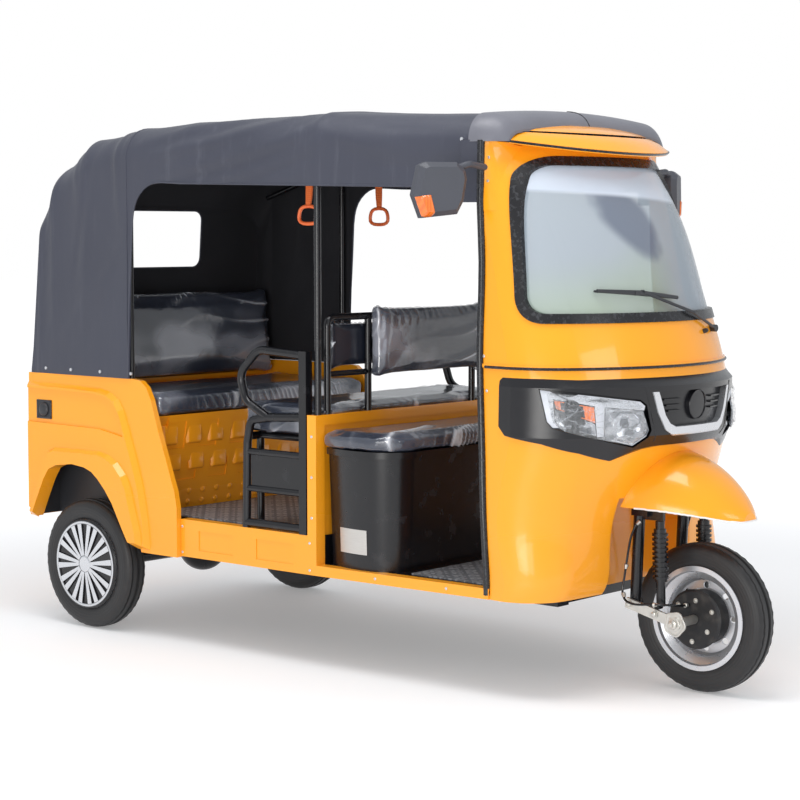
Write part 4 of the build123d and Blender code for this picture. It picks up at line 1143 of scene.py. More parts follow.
def wrap_film(pad, name, away, seed):
    """The clear film over a pad: long sagging folds, and puckers where it is drawn round the edges."""
    cover = copy_of(pad, name)
    cover.data.update()
    low, high = (Vector([bound(vert.co[axis] for vert in cover.data.vertices) for axis in range(3)])
                 for bound in (min, max))
    flat = high.z - low.z < 0.13
    normals = [vert.normal.copy() for vert in cover.data.vertices]
    crests = [0.0] * len(normals)
    shift = Vector((seed * 3.7, seed * 1.3, seed * 0.7))
    for vert, normal in zip(cover.data.vertices, normals):
        spot = vert.co.copy()
        drift = noise.noise(spot * 2.4 + shift)
        swing = noise.noise(spot * 5.5 + shift * 2)
        along = spot.y
        if flat:
            near_edge = min(spot.x - low.x, high.x - spot.x, spot.y - low.y, high.y - spot.y)
            sweep_phase = spot.x * 6.0 + along * 2.2 + drift * 0.9
            pucker_phase = along * 24.0 + spot.x * 12.0 * drift + swing * 2.6
        else:
            near_edge = min(high.z - spot.z, spot.y - low.y, high.y - spot.y) + 0.012
            sweep_phase = spot.z * 9.0 - along * 1.8 + drift * 1.6
            pucker_phase = along * 30.0 + (spot.z - high.z) * 14.0 * drift + swing * 2.4
        mask = clamp(0.45 + 1.6 * noise.noise(spot * 3.0 + shift * 3), 0.1)
        pull = clamp(1.0 - near_edge / CREASE_BAND)
        pull *= clamp(0.55 + 1.3 * noise.noise(spot * 4 + shift), 0.15)
        height = 0.70 * fold(sweep_phase, 1.8) * mask + 0.60 * fold(pucker_phase, 1.1) * pull
        height += 0.20 * fold(pucker_phase * 1.9 + swing, 1.2) * pull
        # the highest folds are kept as a mask on which the film's material paints a white highlight
        crests[vert.index] = clamp(height * 2.0 - 0.35) ** 2
        vert.co = spot + normal * (FILM_LIFT + FILM_DEPTH * height)
    cover.data.update()
    shade = cover.data.attributes.new("crest", "FLOAT", "POINT")
    shade.data.foreach_set("value", crests)
    pick(cover, lambda face: face.normal.dot(Vector(away)) > 0.75)
    bpy.ops.mesh.delete(type="FACE")
    return close(cover)


# ---------------------------------------------------------------- wheels
TREAD = (           # across the tyre, distance out from the axle, from one bead to the other
    (-0.0385, 0.1690), (-0.0435, 0.1745), (-0.0450, 0.1830), (-0.0470, 0.1950), (-0.0478, 0.2090),
    (-0.0468, 0.2200), (-0.0440, 0.2290), (-0.0405, 0.2350), (-0.0350, 0.2392), (-0.0290, 0.2418),
    (-0.0270, 0.2362), (-0.0232, 0.2362), (-0.0212, 0.2436), (-0.0080, 0.2448), (-0.0062, 0.2376),
    (-0.0018, 0.2376), (0.0, 0.2450))
TREAD_STEPS = 90
SIPE_PITCH, SIPE_DEPTH = 4.0, 0.0020        # degrees, metres
SHOULDER = (0.2340, 0.0275)                 # how far out and how far across the sipes begin


def tyre(name, centre, finish, body, node):
    """A ribbed road tyre, spun from its section, with sipes pressed into the shoulders."""
    profile = list(TREAD[:-1]) + [(-across, out) for across, out in reversed(TREAD[:-1])]
    piece = lathe(name, profile, centre, (0, 1, 0), TREAD_STEPS)
    middle = Vector(centre)
    for vert in piece.data.vertices:
        arm = vert.co - middle
        out = math.hypot(arm.x, arm.z)
        turn = round(math.degrees(math.atan2(arm.z, arm.x)) / SIPE_PITCH)
        if out > SHOULDER[0] and abs(arm.y) > SHOULDER[1] and turn % 2:
            shorter = (out - SIPE_DEPTH) / out
            vert.co = middle + Vector((arm.x * shorter, arm.y, arm.z * shorter))
    piece.data.update()
    return fit(piece, finish, body, (node,), smooth=45)


# ---------------------------------------------------------------- lamps, grille and mirrors
LAMP_TURN = math.radians(42)       # outlines are in mm across and up a lamp that faces this way
LAMP_ACROSS = Vector((math.sin(LAMP_TURN), math.cos(LAMP_TURN), 0))
LAMP_AHEAD = Vector((math.cos(LAMP_TURN), -math.sin(LAMP_TURN), 0))
LAMP_SHAPE = ((243, 1006), (406, 990), (575, 967), (597, 950), (616, 868), (605, 845),
              (556, 812), (470, 834), (381, 857), (284, 881), (265, 902))
GUIDE_SHAPE = ((247, 1002), (408, 983), (574, 961), (592, 946), (588, 932), (560, 936), (452, 947),
               (450, 852), (427, 853), (419, 951), (286, 974), (291, 905), (304, 884), (285, 884),
               (268, 903))
AMBER_SHAPE = ((290, 970), (417, 947), (421, 897), (296, 944))
CELL_LEFT = ((292, 940), (420, 893), (426, 856), (306, 886), (294, 906))
CELL_RIGHT = ((454, 944), (586, 930), (610, 868), (600, 848), (555, 818), (455, 846))
LAMP_CUTS = (       # piece, outline, depth behind the cover, thickness, rim, finish, slot
    ("light_guide", GUIDE_SHAPE, 0.0, 0.0028, 0.0, "guide", "lens"),
    ("turn_lens", AMBER_SHAPE, 0.0005, 0.0026, 0.003, "amber", "lens"),
    ("lamp_cell", CELL_LEFT, 0.0014, 0.0012, 0.004, "reflect", "silver_plastic"),
    ("lamp_back", CELL_RIGHT, 0.0052, 0.002, 0.005, "reflect", "silver_plastic"),
)
LAMP_ROLL = 0.0008


def facing_surface(node, ahead):
    """Finds the outer face of a CAD piece seen from a direction."""
    tree = skin_of(node)

    def find(spot):
        hit = tree.ray_cast(spot + ahead * 3, -ahead)[0]
        return hit if hit is not None else tree.find_nearest(spot + ahead * 1.1)[0]
    return find


def lamp_spot(across, up):
    """A place in front of the right lamp, given in mm across and up its face."""
    return LAMP_ACROSS * (across / 1000) + Vector((0, 0, up / 1000)) + LAMP_AHEAD * 0.9


def lamp_part(name, shape, surface, depth, thick, lip):
    """A lamp part cut to an outline, set behind the cover by depth and given a thickness."""
    piece = begin("circle", name, vertices=len(shape), radius=1, fill_type="NGON")
    for vert, (across, up) in zip(piece.data.vertices, shape):
        vert.co = surface(lamp_spot(across, up)) - LAMP_AHEAD * depth
    piece.data.update()
    pick(piece, lambda face: True)
    bpy.ops.mesh.normals_make_consistent(inside=False)
    bpy.ops.mesh.quads_convert_to_tris()
    bpy.ops.mesh.tris_convert_to_quads()
    push(*(LAMP_AHEAD * thick))
    if lip:
        inset_push(lip, *(LAMP_AHEAD * -thick * 0.6))
    close(piece)
    outward(piece)
    return roll_edges(piece, LAMP_ROLL, 2, 30)


def reflector(name, across, up, surface, radius, depth, finish_depth):
    """A stepped dish with a small bulb shield in its middle."""
    centre = surface(lamp_spot(across, up)) - LAMP_AHEAD * finish_depth
    steps = ((1, 0.0), (1, 0.16), (0.92, 0.20), (0.62, 0.55), (0.58, 0.58), (0.30, 0.80), (0.26, 0.83))
    profile = [(-depth * back, radius * out) for back, out in steps]
    profile += [(0, radius),
                (0.0012, radius * 1.02), (0.0004, radius * 1.07), (-depth * 0.5, radius * 1.07)]
    dish = lathe(name, profile, centre, LAMP_AHEAD, 40)
    bulb = ((1, 0.0), (1, 0.009), (0.35, 0.009), (0.2, 0.0065), (0.2, 0.0))
    shield = lathe(name + "_shield", [(-depth * back, out) for back, out in bulb], centre, LAMP_AHEAD, 20)
    return join(name, dish, shield)


def outline_at(shape, share):
    """The point a share of the way round an outline."""
    lengths = [math.dist(p, q) for p, q in zip(shape, shape[1:] + shape[:1])]
    left = share % 1 * sum(lengths)
    for start, end, length in zip(shape, shape[1:] + shape[:1], lengths):
        if left <= length:
            return [p + (q - p) * left / length for p, q in zip(start, end)]
        left -= length
    return list(shape[0])


def laid_patch(name, outline, middle, spot, surface, ahead, stand, rings, sides, lip):
    """A thin moulding cut to an outline, laid over a surface and standing off it by stand."""
    piece = begin("circle", name, vertices=sides, radius=1, fill_type="NGON")
    pick(piece, lambda face: True)
    for _ in range(rings - 1):
        bpy.ops.mesh.inset(thickness=1 / rings)
    close(piece)
    for vert in piece.data.vertices:
        away = min(1.0, math.hypot(vert.co.x, vert.co.y))
        edge = outline_at(outline, math.atan2(vert.co.y, vert.co.x) / (2 * math.pi))
        across, up = (m + (e - m) * away for m, e in zip(middle, edge))
        under = surface(spot(across, up))
        vert.co = under + ahead * stand(across, up, away, under)
    piece.data.update()
    pick(piece, lambda edge: edge.is_boundary, "EDGE")
    push(*(ahead * -lip))
    close(piece)
    pick(piece, lambda face: True)
    bpy.ops.mesh.normals_make_consistent(inside=False)
    close(piece)
    if sum(poly.normal.dot(ahead) * poly.area for poly in piece.data.polygons) < 0:
        piece.data.flip_normals()
    return piece


def bulged_cover(name, surface, rise=0.0, crease=0.0):
    """The clear cover, standing further out towards the vehicle's middle."""
    def stand(across, up, away, under):
        inward = clamp((across - 330) / 270) * clamp((1020 - up) / 130)
        height = 0.0042 + 0.009 * inward + (0.002 + 0.013 * inward) * (1 - away ** 2.5)
        if crease:
            fine = Vector((under.x * 60, under.y * 45, under.z * 90))
            height += crease * (ridge(under * 26) * 0.8 + ridge(fine) * 0.5)
        return height + rise
    return laid_patch(name, LAMP_SHAPE, (440, 908), lamp_spot, surface, LAMP_AHEAD, stand, 9, 66, 0.012)


def headlamps(finishes):
    """Both lamps: the CAD housing opened in front, and behind its clear cover the parts of the light."""
    cover = facing_surface("headlights", LAMP_AHEAD)
    left_ahead = Vector((LAMP_AHEAD.x, -LAMP_AHEAD.y, 0))
    bowl = softened("headlights", "lamp_housing")
    pick(bowl, lambda face: face.normal.dot(left_ahead if face.calc_center_median().y > 0 else LAMP_AHEAD)
         >= 0.55)
    bpy.ops.mesh.delete(type="FACE")
    bpy.ops.mesh.select_all(action="SELECT")
    bpy.ops.mesh.flip_normals()
    close(bowl)
    fit(bowl, finishes["black"], stands_for=("headlights",), smooth=30)
    right = [(bulged_cover("lamp_cover", cover), "clear", "lens", 60),
             (bulged_cover("lamp_film", cover, 0.0008, 0.004), "film", "lens", 0)]
    right += [(lamp_part(name, shape, cover, depth, thick, rim), finish, slot, 30)
              for name, shape, depth, thick, rim, finish, slot in LAMP_CUTS]
    dish = reflector("lamp_dish", 528, 884, cover, 0.042, 0.010, -0.004)
    right += [(dish, "reflect", "silver_plastic", 30)]
    for piece, finish, slot, smooth in right:
        both = fit(both_sides(piece.name + "s", piece), finishes[finish], smooth=smooth)
        if not smooth:
            take(both)
            bpy.ops.object.shade_smooth()


def grille_ring(surface):
    """A plain gloss ring round the grille's blank disc."""
    height = 0.940
    ring = begin("torus", "grille_ring", major_radius=0.047, minor_radius=0.0022,
                 major_segments=56, minor_segments=8, location=(0, 0, 0),
                 rotation=(0, math.radians(90), 0))
    settle()
    for vert in ring.data.vertices:
        place = surface(Vector((1.0, vert.co.y, vert.co.z + height)))
        vert.co = Vector((place.x + vert.co.x + 0.001, vert.co.y, vert.co.z + height))
    ring.data.update()
    return ring


def mask_joints(surface):
    """The narrow joint between the middle of the lamp mask and each side of it."""
    joints = []
    for side in (-1, 1):
        line = []
        for step in range(9):
            share = step / 8
            y, z = side * (0.247 - 0.051 * share), 1.004 - 0.176 * share
            line.append(surface(Vector((1.0, y, z))) + Vector((0.0002, 0, 0)))
        joints.append(sweep("mask_joint", line, 0.0013, 6))
    return join("mask_joints", *joints)


MIRROR_TURN = math.radians(27)
MIRROR_AT = Vector((0.615, -0.745, 0))
MIRROR_ACROSS = Vector((math.sin(MIRROR_TURN), math.cos(MIRROR_TURN), 0))
MIRROR_AHEAD = Vector((math.cos(MIRROR_TURN), -math.sin(MIRROR_TURN), 0))


def mirror_spot(across, up):
    """A place in the right mirror's plane, given in mm across and up it."""
    return MIRROR_AT + MIRROR_ACROSS * (across / 1000) + Vector((0, 0, up / 1000))


def mirror_lens(surface):
    """The repeater lens wrapped round the housing's lower outer corner."""
    shape = ((4, 1606), (30, 1611), (52, 1613), (60, 1585), (67, 1556), (60, 1544), (40, 1542), (27, 1545))

    def stand(_across, _up, away, _under):
        return 0.0008 if away > 0.97 else (0.0045 if away > 0.8 else 0.0036)
    return laid_patch("mirror_lens", shape, (38, 1578), mirror_spot, surface, MIRROR_AHEAD, stand,
                      7, 40, 0.004)


def mirror_glasses():
    """The glass let into the back of each mirror's housing."""
    shape = ((10, 1613), (29, 1697), (50, 1707), (143, 1708), (168, 1688), (174, 1660), (163, 1600),
             (144, 1562), (38, 1550))
    behind = facing_surface("mirrors", -MIRROR_AHEAD)
    right = laid_patch("mirror_glass", shape, (95, 1632), mirror_spot, behind,
                       -MIRROR_AHEAD, lambda a, u, away, under: 0.0022, 3, 36, 0.003)
    return both_sides("mirror_glasses", right)


# ---------------------------------------------------------------- seals, straps, plates and screws
PILLAR_EDGE = (     # the cab's rear edge, from the sill to the roof
    (0.762, -0.545, 0.335), (0.760, -0.546, 0.40), (0.756, -0.546, 0.45), (0.7435, -0.5428, 0.60),
    (0.7355, -0.5365, 0.70), (0.7275, -0.5296, 0.80), (0.719, -0.5236, 0.90), (0.711, -0.5183, 1.0),
    (0.704, -0.5124, 1.1), (0.700, -0.5046, 1.2), (0.6965, -0.4956, 1.3), (0.6925, -0.4887, 1.4),
    (0.6885, -0.4890, 1.5), (0.685, -0.4907, 1.6), (0.6845, -0.4885, 1.7), (0.684, -0.4860, 1.790))


def door_seal():
    """The push-on rubber along the cab's rear edge, a bulb on a clip."""
    line = [Vector(point) + Vector((-0.003, -0.002, 0)) for point in PILLAR_EDGE]
    return both_sides("door_seals", sweep("door_seal", line, 0.0125, 12))


SCREW_STAND = 0.0008


def screw(radius=0.005, slot_depth=0.0010):
    """A pan-head screw with a cross recess, standing on the ground plane."""
    head = begin("cylinder", "screw", vertices=16, radius=radius, depth=radius * 0.5)
    pick(head, lambda face: face.normal.z > 0.9)
    bpy.ops.mesh.inset(thickness=radius * 0.28)
    bpy.ops.transform.translate(value=(0, 0, radius * 0.22))
    inset_push(radius * 0.30, z=-slot_depth)
    close(head)
    return head


def on_skin(node, spot, facing):
    """Where a line through spot first meets a CAD piece, coming against facing, and the skin's turn."""
    tree = skin_of(node)
    facing = Vector(facing)
    hit, normal = tree.ray_cast(Vector(spot) + facing * 2, -facing)[:2]
    if hit is None:
        hit, normal = tree.find_nearest(Vector(spot))[:2]
    return hit, normal


def body_screws():
    """Screws along the pillar, the partition post, the sills and the rear body."""
    spots = []
    for side in (-1, 1):
        out = (0, side, 0)
        for x, z in ((0.7025, 1.660), (0.7025, 1.735)):
            spots.append((Vector((x, side * (cheek_side(x, z) + SCREW_STAND), z)), Vector(out)))
        for x, z in ((0.735, 0.99), (0.716, 1.10)):
            node = "front_upper_shell" if z > CAB_WAIST else "front_lower_shell"
            spots.append(on_skin(node, (x, 0, z), out))
        for x, z in ((-0.628, 0.432), (-0.628, 0.338), (0.008, 0.432), (0.008, 0.338), (0.30, 0.340),
                     (0.60, 0.340)):
            spots.append(on_skin("side_sills", (x, 0, z), out))
        for z in (0.52, 0.66, 0.80):
            spots.append(on_skin("partition", (0.018, 0, z), out))
    return place_all("body_screws", screw(),
                     [(hit + Vector(normal) * SCREW_STAND, normal) for hit, normal in spots])


def filler_plate():
    """The square black cover on the rear flank, with a domed cap and four rivets."""
    made = []
    for side in (-1, 1):
        hit, normal = on_skin("rear_side_panels", (-1.360, 0, 0.820), (0, side, 0))
        plate = block("filler_plate", (0.086, 0.072, 0.005))
        pick(plate, lambda face: face.normal.z > 0.9)
        inset_push(0.008, z=-0.0018)
        close(plate)
        roll_edges(plate, 0.0016, 3, 30)
        dome = lathe("filler_dome", [(0.0, 0.026), (0.003, 0.0265), (0.006, 0.025), (0.0105, 0.019),
                                     (0.0125, 0.010), (0.013, 0.0)], (0, 0, 0), (0, 0, 1), 32)
        parts = [plate, dome]
        rivet = screw(0.004, 0.0004)
        for x in (-0.037, 0.037):
            for y in (-0.030, 0.030):
                parts.append(copy_of(rivet, "rivet", move=(x, y, 0.003)))
        bpy.data.objects.remove(rivet)
        whole = join("filler_plate", *parts)
        whole.matrix_world = (Matrix.Translation(hit + Vector(normal) * 0.002)
                              @ Matrix.Rotation(math.radians(90) * (1 if side < 0 else -1), 4, "X"))
        made.append(whole)
    return join("filler_plates", *made)


def maker_blank():
    """A bare aluminium plate riveted to the driver's seat box."""
    x, z, length, height = 0.182, 0.453, 0.130, 0.084
    plate = begin("grid", "bare_plate", x_subdivisions=8, y_subdivisions=4, size=1)
    for vert in plate.data.vertices:
        place = (x + vert.co.x * length, 0, z + vert.co.y * height)
        vert.co = on_skin("driver_seat_box", place, (0, -1, 0))[0] + Vector((0, -0.0016, 0))
    plate.data.update()
    pick(plate, lambda face: True)
    push(0, 0.0012, 0)
    close(plate)
    return outward(plate)


STRAP_TOP, STRAP_LENGTH = 1.795, 0.205
LOOP_MIDDLE = 1.5585
LOOP_BEND = 0.42        # how much of each side the loop's rounded corners take


def strap_loop(x, y):
    """A moulded hand loop: a round bar closed on itself, wider below than above."""
    shape = []
    corners = ((0.050, -0.032), (0.040, 0.030), (-0.040, 0.030), (-0.050, -0.032))
    for index, (across, up) in enumerate(corners):
        before, after = corners[index - 1], corners[(index + 1) % 4]
        for step in range(5):
            share = step / 4
            start = [c + (b - c) * LOOP_BEND * (1 - share) for c, b in zip((across, up), before)]
            end = [c + (a - c) * LOOP_BEND * share for c, a in zip((across, up), after)]
            shape.append(tuple(one + (two - one) * share for one, two in zip(start, end)))
    line = [Vector((x + across, y, LOOP_MIDDLE + up)) for across, up in shape]
    return sweep("hand_loop", line + [line[0]], 0.0068, 10)


def hanging_straps(places):
    """Each strap's doubled webbing, from its bar down round its loop."""
    webs, loops = [], []
    for x, y in places:
        web = block("strap_web", (0.030, 0.0075, STRAP_LENGTH), (x, y, 1.692))
        pick(web, lambda face: abs(face.normal.x) > 0.9 or abs(face.normal.y) > 0.9)
        bpy.ops.mesh.subdivide(number_cuts=9)
        close(web)
        for vert in web.data.vertices:
            down = (STRAP_TOP - vert.co.z) / STRAP_LENGTH
            vert.co.y += 0.0035 * math.sin(down * 5.0 + x * 9)
            vert.co.x += 0.002 * math.sin(down * 3.5)
            vert.co.x = x + (vert.co.x - x) * (1 - 0.30 * max(0.0, down - 0.75) / 0.25)
        web.data.update()
        webs.append(roll_edges(web, 0.0018, 2, 50))
        loops.append(strap_loop(x, y))
    return join("strap_webbing", *webs), join("hand_loops", *loops)


def fender_trim():
    """The white bead along the fender's lower edge."""
    tree = skin_of("front_fender")
    low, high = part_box("front_fender")
    middle, swing, steps, rise = Vector(((low[0] + high[0]) / 2 - 0.06, 0, 0)), 108, 72, 0.002
    line = []
    for step in range(steps + 1):
        angle = math.radians(-swing + 2 * swing * step / steps)
        heading = Vector((math.cos(angle), math.sin(angle), 0))
        for level in range(120):
            start = middle + heading * 1.2 + Vector((0, 0, low[2] + rise + level * rise))
            hit = tree.ray_cast(start, -heading, 1.15)[0]
            if hit is not None:
                line.append(hit)
                break
    return sweep("fender_bead", line, 0.0030, 8)


def washer_nozzle():
    """The screen washer's stepped nozzle under the windscreen."""
    body = begin("cylinder", "washer_nozzle", vertices=20, radius=0.008, depth=0.012, location=(0, 0, 0))
    pick(body, lambda face: face.normal.z > 0.9)
    inset_push(0.0015, z=0.004)
    inset_push(0.002, z=0.002)
    close(body)
    hit, normal = on_skin("front_upper_shell", (0, 0.153, 1.169), FORWARD)
    return place_all("washer_nozzle", body, [(hit + Vector(normal) * 0.004, normal)])


def cap_joint():
    """The joint down the middle of the moulded roof cap."""
    line = [Vector(p) for p in ((0.662, 0, 1.9018), (0.680, 0, 1.9002), (0.700, 0, 1.8964),
                                (0.720, 0, 1.8888), (0.740, 0, 1.8740), (0.7555, 0, 1.8508))]
    return sweep("cap_joint", line, 0.0022, 8)


# ---------------------------------------------------------------- roof eave, waist seal and front gear
EAVE_TILT = 0.17        # how much the eave drops for each metre forwards
EAVE_BACK, EAVE_MIDDLE = 0.69, 0.815    # where its tilt begins, and where it leaves the height as it was
CAB_WAIST = 1.0665
EAVE_TOP, EAVE_DEPTH = 1.852, 0.072     # the eave drops fully this far below its top
CORNER_BACK, CORNER_LENGTH = 0.6845, 0.066      # the cab's rear edge behind the windscreen
CORNER_FOOT, CORNER_HEIGHT = 1.565, 0.228
CORNER_SHEET = 0.002
FLAP_BACK, FLAP_LENGTH = 0.612, 0.066   # the canopy's edge that the corner flaps are sewn to
FLAP_FOOT, FLAP_HEIGHT = 1.592, 0.200
LINK_AXLE_OUT = 0.1755


def tilted_eave(node, name, cut_low=None, cut_back=None):
    """The eave at the roof's front, trimmed level and dropped towards its tip."""
    eave = softened(node, name)
    for place, away in ((cut_low, (0, 0, -1)), (cut_back, (-1, 0, 0))):
        if place:
            pick(eave, lambda face: True)
            bpy.ops.mesh.bisect(plane_co=place, plane_no=away, use_fill=True, clear_outer=True)
            close(eave)
    for vert in eave.data.vertices:
        lower = clamp((EAVE_TOP - vert.co.z) / EAVE_DEPTH)
        vert.co.z += (EAVE_MIDDLE - max(EAVE_BACK, vert.co.x)) * EAVE_TILT * lower ** 1.5
    eave.data.update()
    return eave


def waist_seal():
    """The rubber bead in the joint between the cab's upper and lower shells."""
    surface = skin_of("front_upper_shell")
    middle, swing, steps = Vector((0.708, 0, CAB_WAIST)), 88, 60
    line = []
    for step in range(steps + 1):
        angle = math.radians(-swing + 2 * swing * step / steps)
        heading = Vector((math.cos(angle), math.sin(angle), 0))
        hit = surface.ray_cast(middle + heading * 1.5, -heading)[0]
        if hit is not None:
            line.append(hit)
    return sweep("waist_seal", line, 0.0048, 8)


WASHER = 0.002


def hex_bolt(radius, height, stud=0.0):
    """A hexagon head on its washer, with a thread end standing out where asked."""
    washer = begin("cylinder", "washer", vertices=24, radius=radius * 1.35, depth=WASHER,
                   location=(0, 0, WASHER / 2))
    head = begin("cylinder", "bolt_head", vertices=6, radius=radius, depth=height,
                 location=(0, 0, WASHER + height / 2))
    pick(head, lambda face: face.normal.z > 0.9)
    bpy.ops.mesh.inset(thickness=radius * 0.12)
    bpy.ops.transform.translate(value=(0, 0, height * 0.12))
    close(head)
    parts = [washer, head]
    if stud:
        thread = begin("cylinder", "thread_end", vertices=16, radius=radius * 0.48, depth=stud,
                       location=(0, 0, WASHER + height + stud / 2))
        pick(thread, lambda face: face.normal.z > 0.9)
        bpy.ops.mesh.inset(thickness=radius * 0.08)
        bpy.ops.transform.translate(value=(0, 0, 0.0012))
        close(thread)
        parts.append(thread)
    return join("hex_bolt", *parts)


def axle_bolts():
    """Nuts and bolts of the leading links, both sides."""
    small, large = hex_bolt(0.0095, 0.007), hex_bolt(0.0165, 0.012, 0.012)
    bolts = ((FRONT_AXLE_X, TYRE_R, 0.1785, large),
             (1.048, 0.289, 0.1670, small), (1.147, 0.2665, 0.1680, small))
    made = [set_on(model, "link_bolt", (x, side * out, z), (0, side, 0))
            for side in (-1, 1) for x, z, out, model in bolts]
    bpy.data.objects.remove(small)
    bpy.data.objects.remove(large)
    return join("link_bolts", *made)


def axle_brackets():
    """The five-sided brackets that hold the axle's ends."""
    made = []
    for side in (-1, 1):
        plate = begin("cylinder", "axle_bracket", vertices=32, radius=0.040, depth=0.006,
                      location=(FRONT_AXLE_X, side * LINK_AXLE_OUT, TYRE_R),
                      rotation=(math.radians(90), 0, 0))
        settle()
        for vert in plate.data.vertices:
            middle = Vector((FRONT_AXLE_X, vert.co.y, TYRE_R))
            lean = vert.co - middle
            angle = math.atan2(lean.z, lean.x)
            vert.co = middle + lean * (1.0 + 0.06 * math.cos(5 * angle + 0.6))
        plate.data.update()
        pick(plate, lambda face: face.normal.y * side > 0.9)
        inset_push(0.006, y=-side * 0.0015)
        inset_push(0.012, y=side * 0.004)
        close(plate)
        made.append(roll_edges(plate, 0.001, 2, 40))
    return join("axle_brackets", *made)


BRAKE_PIPE = ((1.078, -0.150, 0.562), (1.068, -0.162, 0.548), (1.052, -0.167, 0.505), (1.039, -0.167, 0.440),
              (1.030, -0.168, 0.380), (1.026, -0.174, 0.330), (1.046, -0.186, 0.303), (1.085, -0.192, 0.295),
              (1.140, -0.192, 0.300), (1.185, -0.180, 0.303), (1.206, -0.140, 0.298), (1.210, -0.095, 0.292),
              (1.210, -0.060, 0.290))


def smooth_line(points, parts):
    """Catmull-Rom points through a short list."""
    line = [Vector(point) for point in points]
    made = []
    for index in range(len(line) - 1):
        p0, p1 = line[max(0, index - 1)], line[index]
        p2, p3 = line[index + 1], line[min(len(line) - 1, index + 2)]
        for step in range(parts):
            t = step / parts
            made.append(0.5 * ((2 * p1) + (p2 - p0) * t + (2 * p0 - 5 * p1 + 4 * p2 - p3) * t * t
                               + (3 * p1 - p0 - 3 * p2 + p3) * t ** 3))
    return made + [line[-1]]


def brake_pipe():
    """The rigid pipe clipped down the fork to the brake, with its unions."""
    return both_sides("brake_pipes", sweep("brake_pipe", smooth_line(BRAKE_PIPE, 4), 0.0038, 8))


def pipe_clips():
    """Zinc clips and unions along the brake pipe."""
    made = []
    for start, end in ((0, 1), (3, 4), (5, 6), (8, 9), (11, 12)):
        a, b = Vector(BRAKE_PIPE[start]), Vector(BRAKE_PIPE[end])
        middle, heading = a.lerp(b, 0.5), (b - a).normalized()
        profile = [(-0.009, 0.0042), (-0.008, 0.0075), (-0.001, 0.0075), (0.0, 0.0058), (0.006, 0.0058),
                   (0.007, 0.0042)]
        made.append(lathe("pipe_clip", profile, middle, heading, 12))
    return both_sides("pipe_clips", join("pipe_clips", *made))


def brake_rivets():
    """Bolts and adjuster plugs in the face of the brake plate."""
    small = hex_bolt(0.0062, 0.004)
    made = []
    for step in range(6):
        angle = math.radians(60 * step + 25)
        reach = 0.062 if step % 2 else 0.074
        spot = (FRONT_AXLE_X + reach * math.cos(angle), -0.0615, TYRE_R + reach * math.sin(angle))
        made.append((spot, (0, -1, 0)))
    return place_all("brake_rivets", small, made)


def pressed_base():
    """Rounded squares and two rows of dimples pressed into the panel under the rear seat."""
    square_pitch, square_reach, dimple_pitch, dimple_reach = 0.118, 0.51, 0.0725, 0.53
    made = []
    upright = Matrix((Vector((0, 1, 0)), Vector((0, 0, 1)), FORWARD)).transposed().to_4x4()
    for row, z in enumerate((0.745, 0.640)):
        for step in range(-4, 5):
            y = step * square_pitch + (0.030 if row else 0.0)
            if abs(y) > square_reach:
                continue
            pad = block("pressed_pad", (0.078, 0.082 - 0.010 * row, 0.012))
            pick(pad, lambda face: face.normal.z > 0.9)
            bpy.ops.transform.resize(value=(0.80, 0.80, 1))
            bpy.ops.transform.translate(value=(0.004, 0.0, 0))
            close(pad)
            roll_edges(pad, 0.004, 3, 20)
            pad.matrix_world = Matrix.Translation(on_skin("rear_seat_base", (0, y, z), FORWARD)[0]) @ upright
            made.append(pad)
    dimple = lathe("dimple", [(-0.002, 0.013), (0.0, 0.012), (0.003, 0.009), (0.0045, 0.005), (0.005, 0.0)],
                   (0, 0, 0), (0, 0, 1), 20)
    for z in (0.522, 0.480):
        for step in range(-7, 8):
            y = step * dimple_pitch + 0.022
            if abs(y) > dimple_reach:
                continue
            one = copy_of(dimple, "dimple")
            hit = on_skin("rear_seat_base", (0, y, z), FORWARD)[0]
            one.matrix_world = Matrix.Translation(hit) @ Matrix.Rotation(math.radians(90), 4, "Y")
            made.append(one)
    bpy.data.objects.remove(dimple)
    return join("pressed_base", *made)


def wiper_blade():
    """The rubber blade in its claw, and the saddle in its middle that the arm holds."""
    glass_face = facing_surface("windscreen_glass", FORWARD)
    ends = [glass_face(Vector((0.8, y / 1000, z / 1000))) for y, z in ((-322, 1310), (2, 1284))]
    spots = [glass_face(ends[0].lerp(ends[1], share / 10)) for share in range(11)]
    claw_stand, edge_stand = Vector((0.0185, 0, 0.001)), Vector((0.0105, 0, -0.001))
    claw = sweep("wiper_claw", [spot + claw_stand for spot in spots[1:-1]], 0.0058, 8)
    edge = sweep("wiper_edge", [spot + edge_stand for spot in spots], 0.0038, 8)
    saddle = block("wiper_saddle", (0.014, 0.070, 0.016), spots[5] + Vector((0.022, 0, 0.002)),
                   (math.radians(-5), 0, 0))
    pick(saddle, lambda face: face.normal.x > 0.9)
    bpy.ops.transform.resize(value=(1, 0.6, 0.6))
    close(saddle)
    roll_edges(saddle, 0.002, 2, 30)
    return join("wiper_blade", claw, edge, saddle)


def cheek_side(x, z):
    """How far out the cab's upper corner stands, square up to the eave."""
    forward = max(0.0, x - 0.685)
    foot, head = 0.4907 - forward * 0.30, 0.4830 - forward * 0.70
    return foot + (head - foot) * clamp((z - 1.56) / 0.225)


